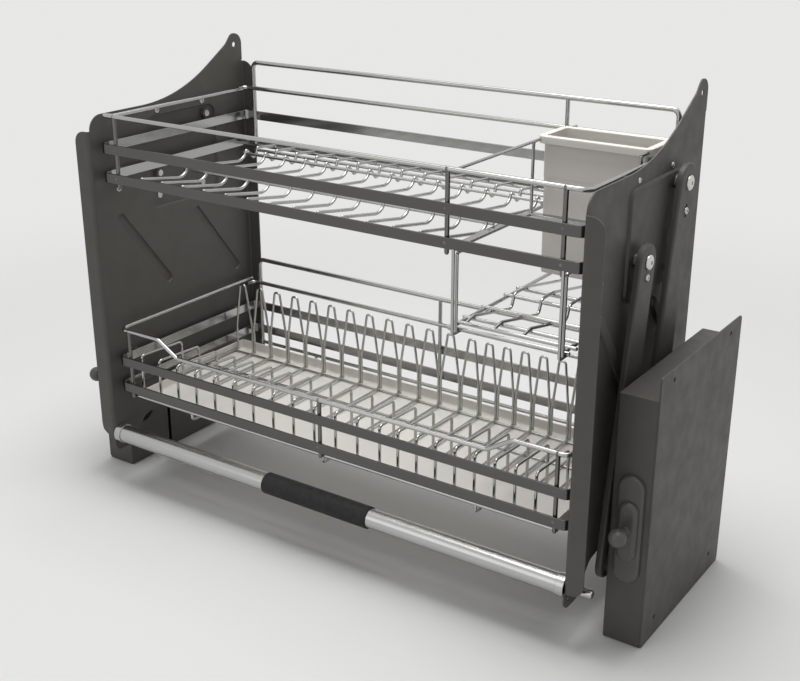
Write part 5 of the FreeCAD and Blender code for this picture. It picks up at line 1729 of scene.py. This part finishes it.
@dataclass(frozen=True)
class Studio:
    """A pale floor, soft lamps and the camera."""

    lens: float = 55.12
    sensor: float = 36.0
    place: Point3 = (770.86, -1145.20, 738.29)
    turn: Point3 = (68.785, 0.0, 34.465)
    floor_half: float = 14.0
    floor_drop: float = 0.0004
    paper: tuple[float, float, float, float] = (0.78, 0.78, 0.775, 1.0)
    backdrop: tuple[float, float, float, float] = (0.8, 0.8, 0.795, 1.0)
    fade: Point2 = (0.45, 1.7)
    ambient: float = 0.3

    def outlook(self, nodes: Nodes) -> Socket:
        """1 on the rays that show the surroundings, whether straight, mirrored or through glass."""
        path = nodes.add("ShaderNodeLightPath").outputs
        direct = nodes.math("MAXIMUM", path["Is Camera Ray"], path["Is Glossy Ray"])
        return nodes.math("MAXIMUM", direct, path["Is Transmission Ray"])

    def floor(self) -> None:
        """Makes the pale floor, which turns into the backdrop's own colour further out."""
        half, z = self.floor_half, -self.floor_drop
        data = bpy.data.meshes.new("floor")
        data.from_pydata([(-half, -half, z), (half, -half, z), (half, half, z), (-half, half, z)],
                         [], [(0, 1, 2, 3)])
        paper = bpy.data.materials.new("pale_floor")
        paper.use_nodes = True
        nodes = Nodes(paper.node_tree)
        lit = nodes.tree.nodes["Principled BSDF"]
        nodes.feed(lit.inputs["Base Color"], self.paper)
        nodes.feed(lit.inputs["Roughness"], 0.9)
        place = nodes.add("ShaderNodeTexCoord").outputs["Object"]
        reach = nodes.add("ShaderNodeVectorMath", place, operation="LENGTH").outputs["Value"]
        near, far = self.fade
        span = nodes.add("ShaderNodeMapRange", interpolation_type="SMOOTHERSTEP", Value=reach,
                         From_Min=near, From_Max=far)
        share = nodes.math("MULTIPLY", span.outputs["Result"], self.outlook(nodes))
        plain = nodes.add("ShaderNodeEmission", Color=self.backdrop)
        mix = nodes.add("ShaderNodeMixShader", share, lit.outputs["BSDF"],
                        plain.outputs["Emission"])
        nodes.feed(nodes.tree.nodes["Material Output"].inputs["Surface"], mix.outputs["Shader"])
        data.materials.append(paper)
        shown("floor", data)

    def lamp(self, name: str, place: Point3, aim: Point3, size: float, power: float) -> None:
        """Hangs one soft square lamp, size metres wide, of so many watts."""
        light = bpy.data.lights.new(name, "AREA")
        light.shape = "SQUARE"
        light.size = size
        light.energy = power
        lamp = shown(name, light)
        lamp.location = place
        way = Vector(aim) - Vector(place)
        lamp.rotation_euler = way.to_track_quat("-Z", "Y").to_euler()

    def world(self) -> bpy.types.World:
        """Makes a dim even world that shows itself as the pale backdrop."""
        world = bpy.data.worlds.new("studio")
        world.use_nodes = True
        nodes = Nodes(world.node_tree)
        back = nodes.tree.nodes["Background"]
        nodes.feed(back.inputs["Color"], (0.9, 0.9, 0.9, 1.0))
        nodes.feed(back.inputs["Strength"], self.ambient)
        seen = nodes.add("ShaderNodeBackground", Color=self.backdrop, Strength=1.0)
        mix = nodes.add("ShaderNodeMixShader", self.outlook(nodes), back.outputs["Background"],
                        seen.outputs["Background"])
        nodes.feed(nodes.tree.nodes["World Output"].inputs["Surface"], mix.outputs["Shader"])
        return world

    def camera(self) -> bpy.types.Object:
        """Makes the camera, at the photograph's place and angle."""
        lens = bpy.data.cameras.new("camera")
        lens.lens = self.lens
        lens.sensor_width = self.sensor
        lens.clip_start = 0.01
        camera = shown("camera", lens)
        camera.location = SPACE.at(self.place)
        camera.rotation_euler = [math.radians(a) for a in self.turn]
        return camera

    def build(self) -> None:
        """Makes the floor, lamps, world and camera."""
        self.floor()
        self.lamp("overhead", (0.0, 0.0, 1.7), (0.0, 0.0, 0.2), 0.9, 13.0)
        self.lamp("wide_overhead", (-0.5, 1.0, 5.0), (0.0, 0.5, 0.0), 4.5, 120.0)
        self.lamp("front_fill", (-0.9, -2.4, 1.3), (0.0, 0.0, 0.25), 1.6, 5.0)
        scene = bpy.context.scene
        scene.world = self.world()
        scene.view_settings.view_transform = "Standard"
        scene.camera = self.camera()


def main() -> None:
    """Builds the rack, sub-assembly by sub-assembly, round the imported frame."""
    logging.basicConfig(level=logging.INFO, format="%(name)s %(message)s")
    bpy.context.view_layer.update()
    Studio().build()
    kit = Kit()
    for side in Side:
        box = SideBox(side)
        box.build(kit)
        Adjuster(box).build(kit)
        SidePanel(side).build(kit)
    Linkage().build(kit)
    PanelScrews().build(kit)
    Handle().build(kit)
    UpperBasket().build(kit)
    SmallRack().build(kit)
    LowerBasket().build(kit)
    PlateHolder().build(kit)
    DripTray().build(kit)
    CutleryBox().build(kit)
    kit.dress(STEEL, "cover_screws", "front_pivot_shafts", "rear_pivot_shafts", "spring_cranks")
    kit.dress(GREY_PAINT, "upper_pivot_nuts")
    kit.dress(DARK_PLASTIC, "lower_pivot_bushes", "damper_housings", "damper_rotors")
    kit.dress(GREY_PLASTIC, "bearing_blocks")
    kit.dress(SPRING_STEEL, "lift_spring_left", "lift_spring_right")
    LOG.info("%d pieces made", len(kit.made))


if __name__ == "__main__":
    main()
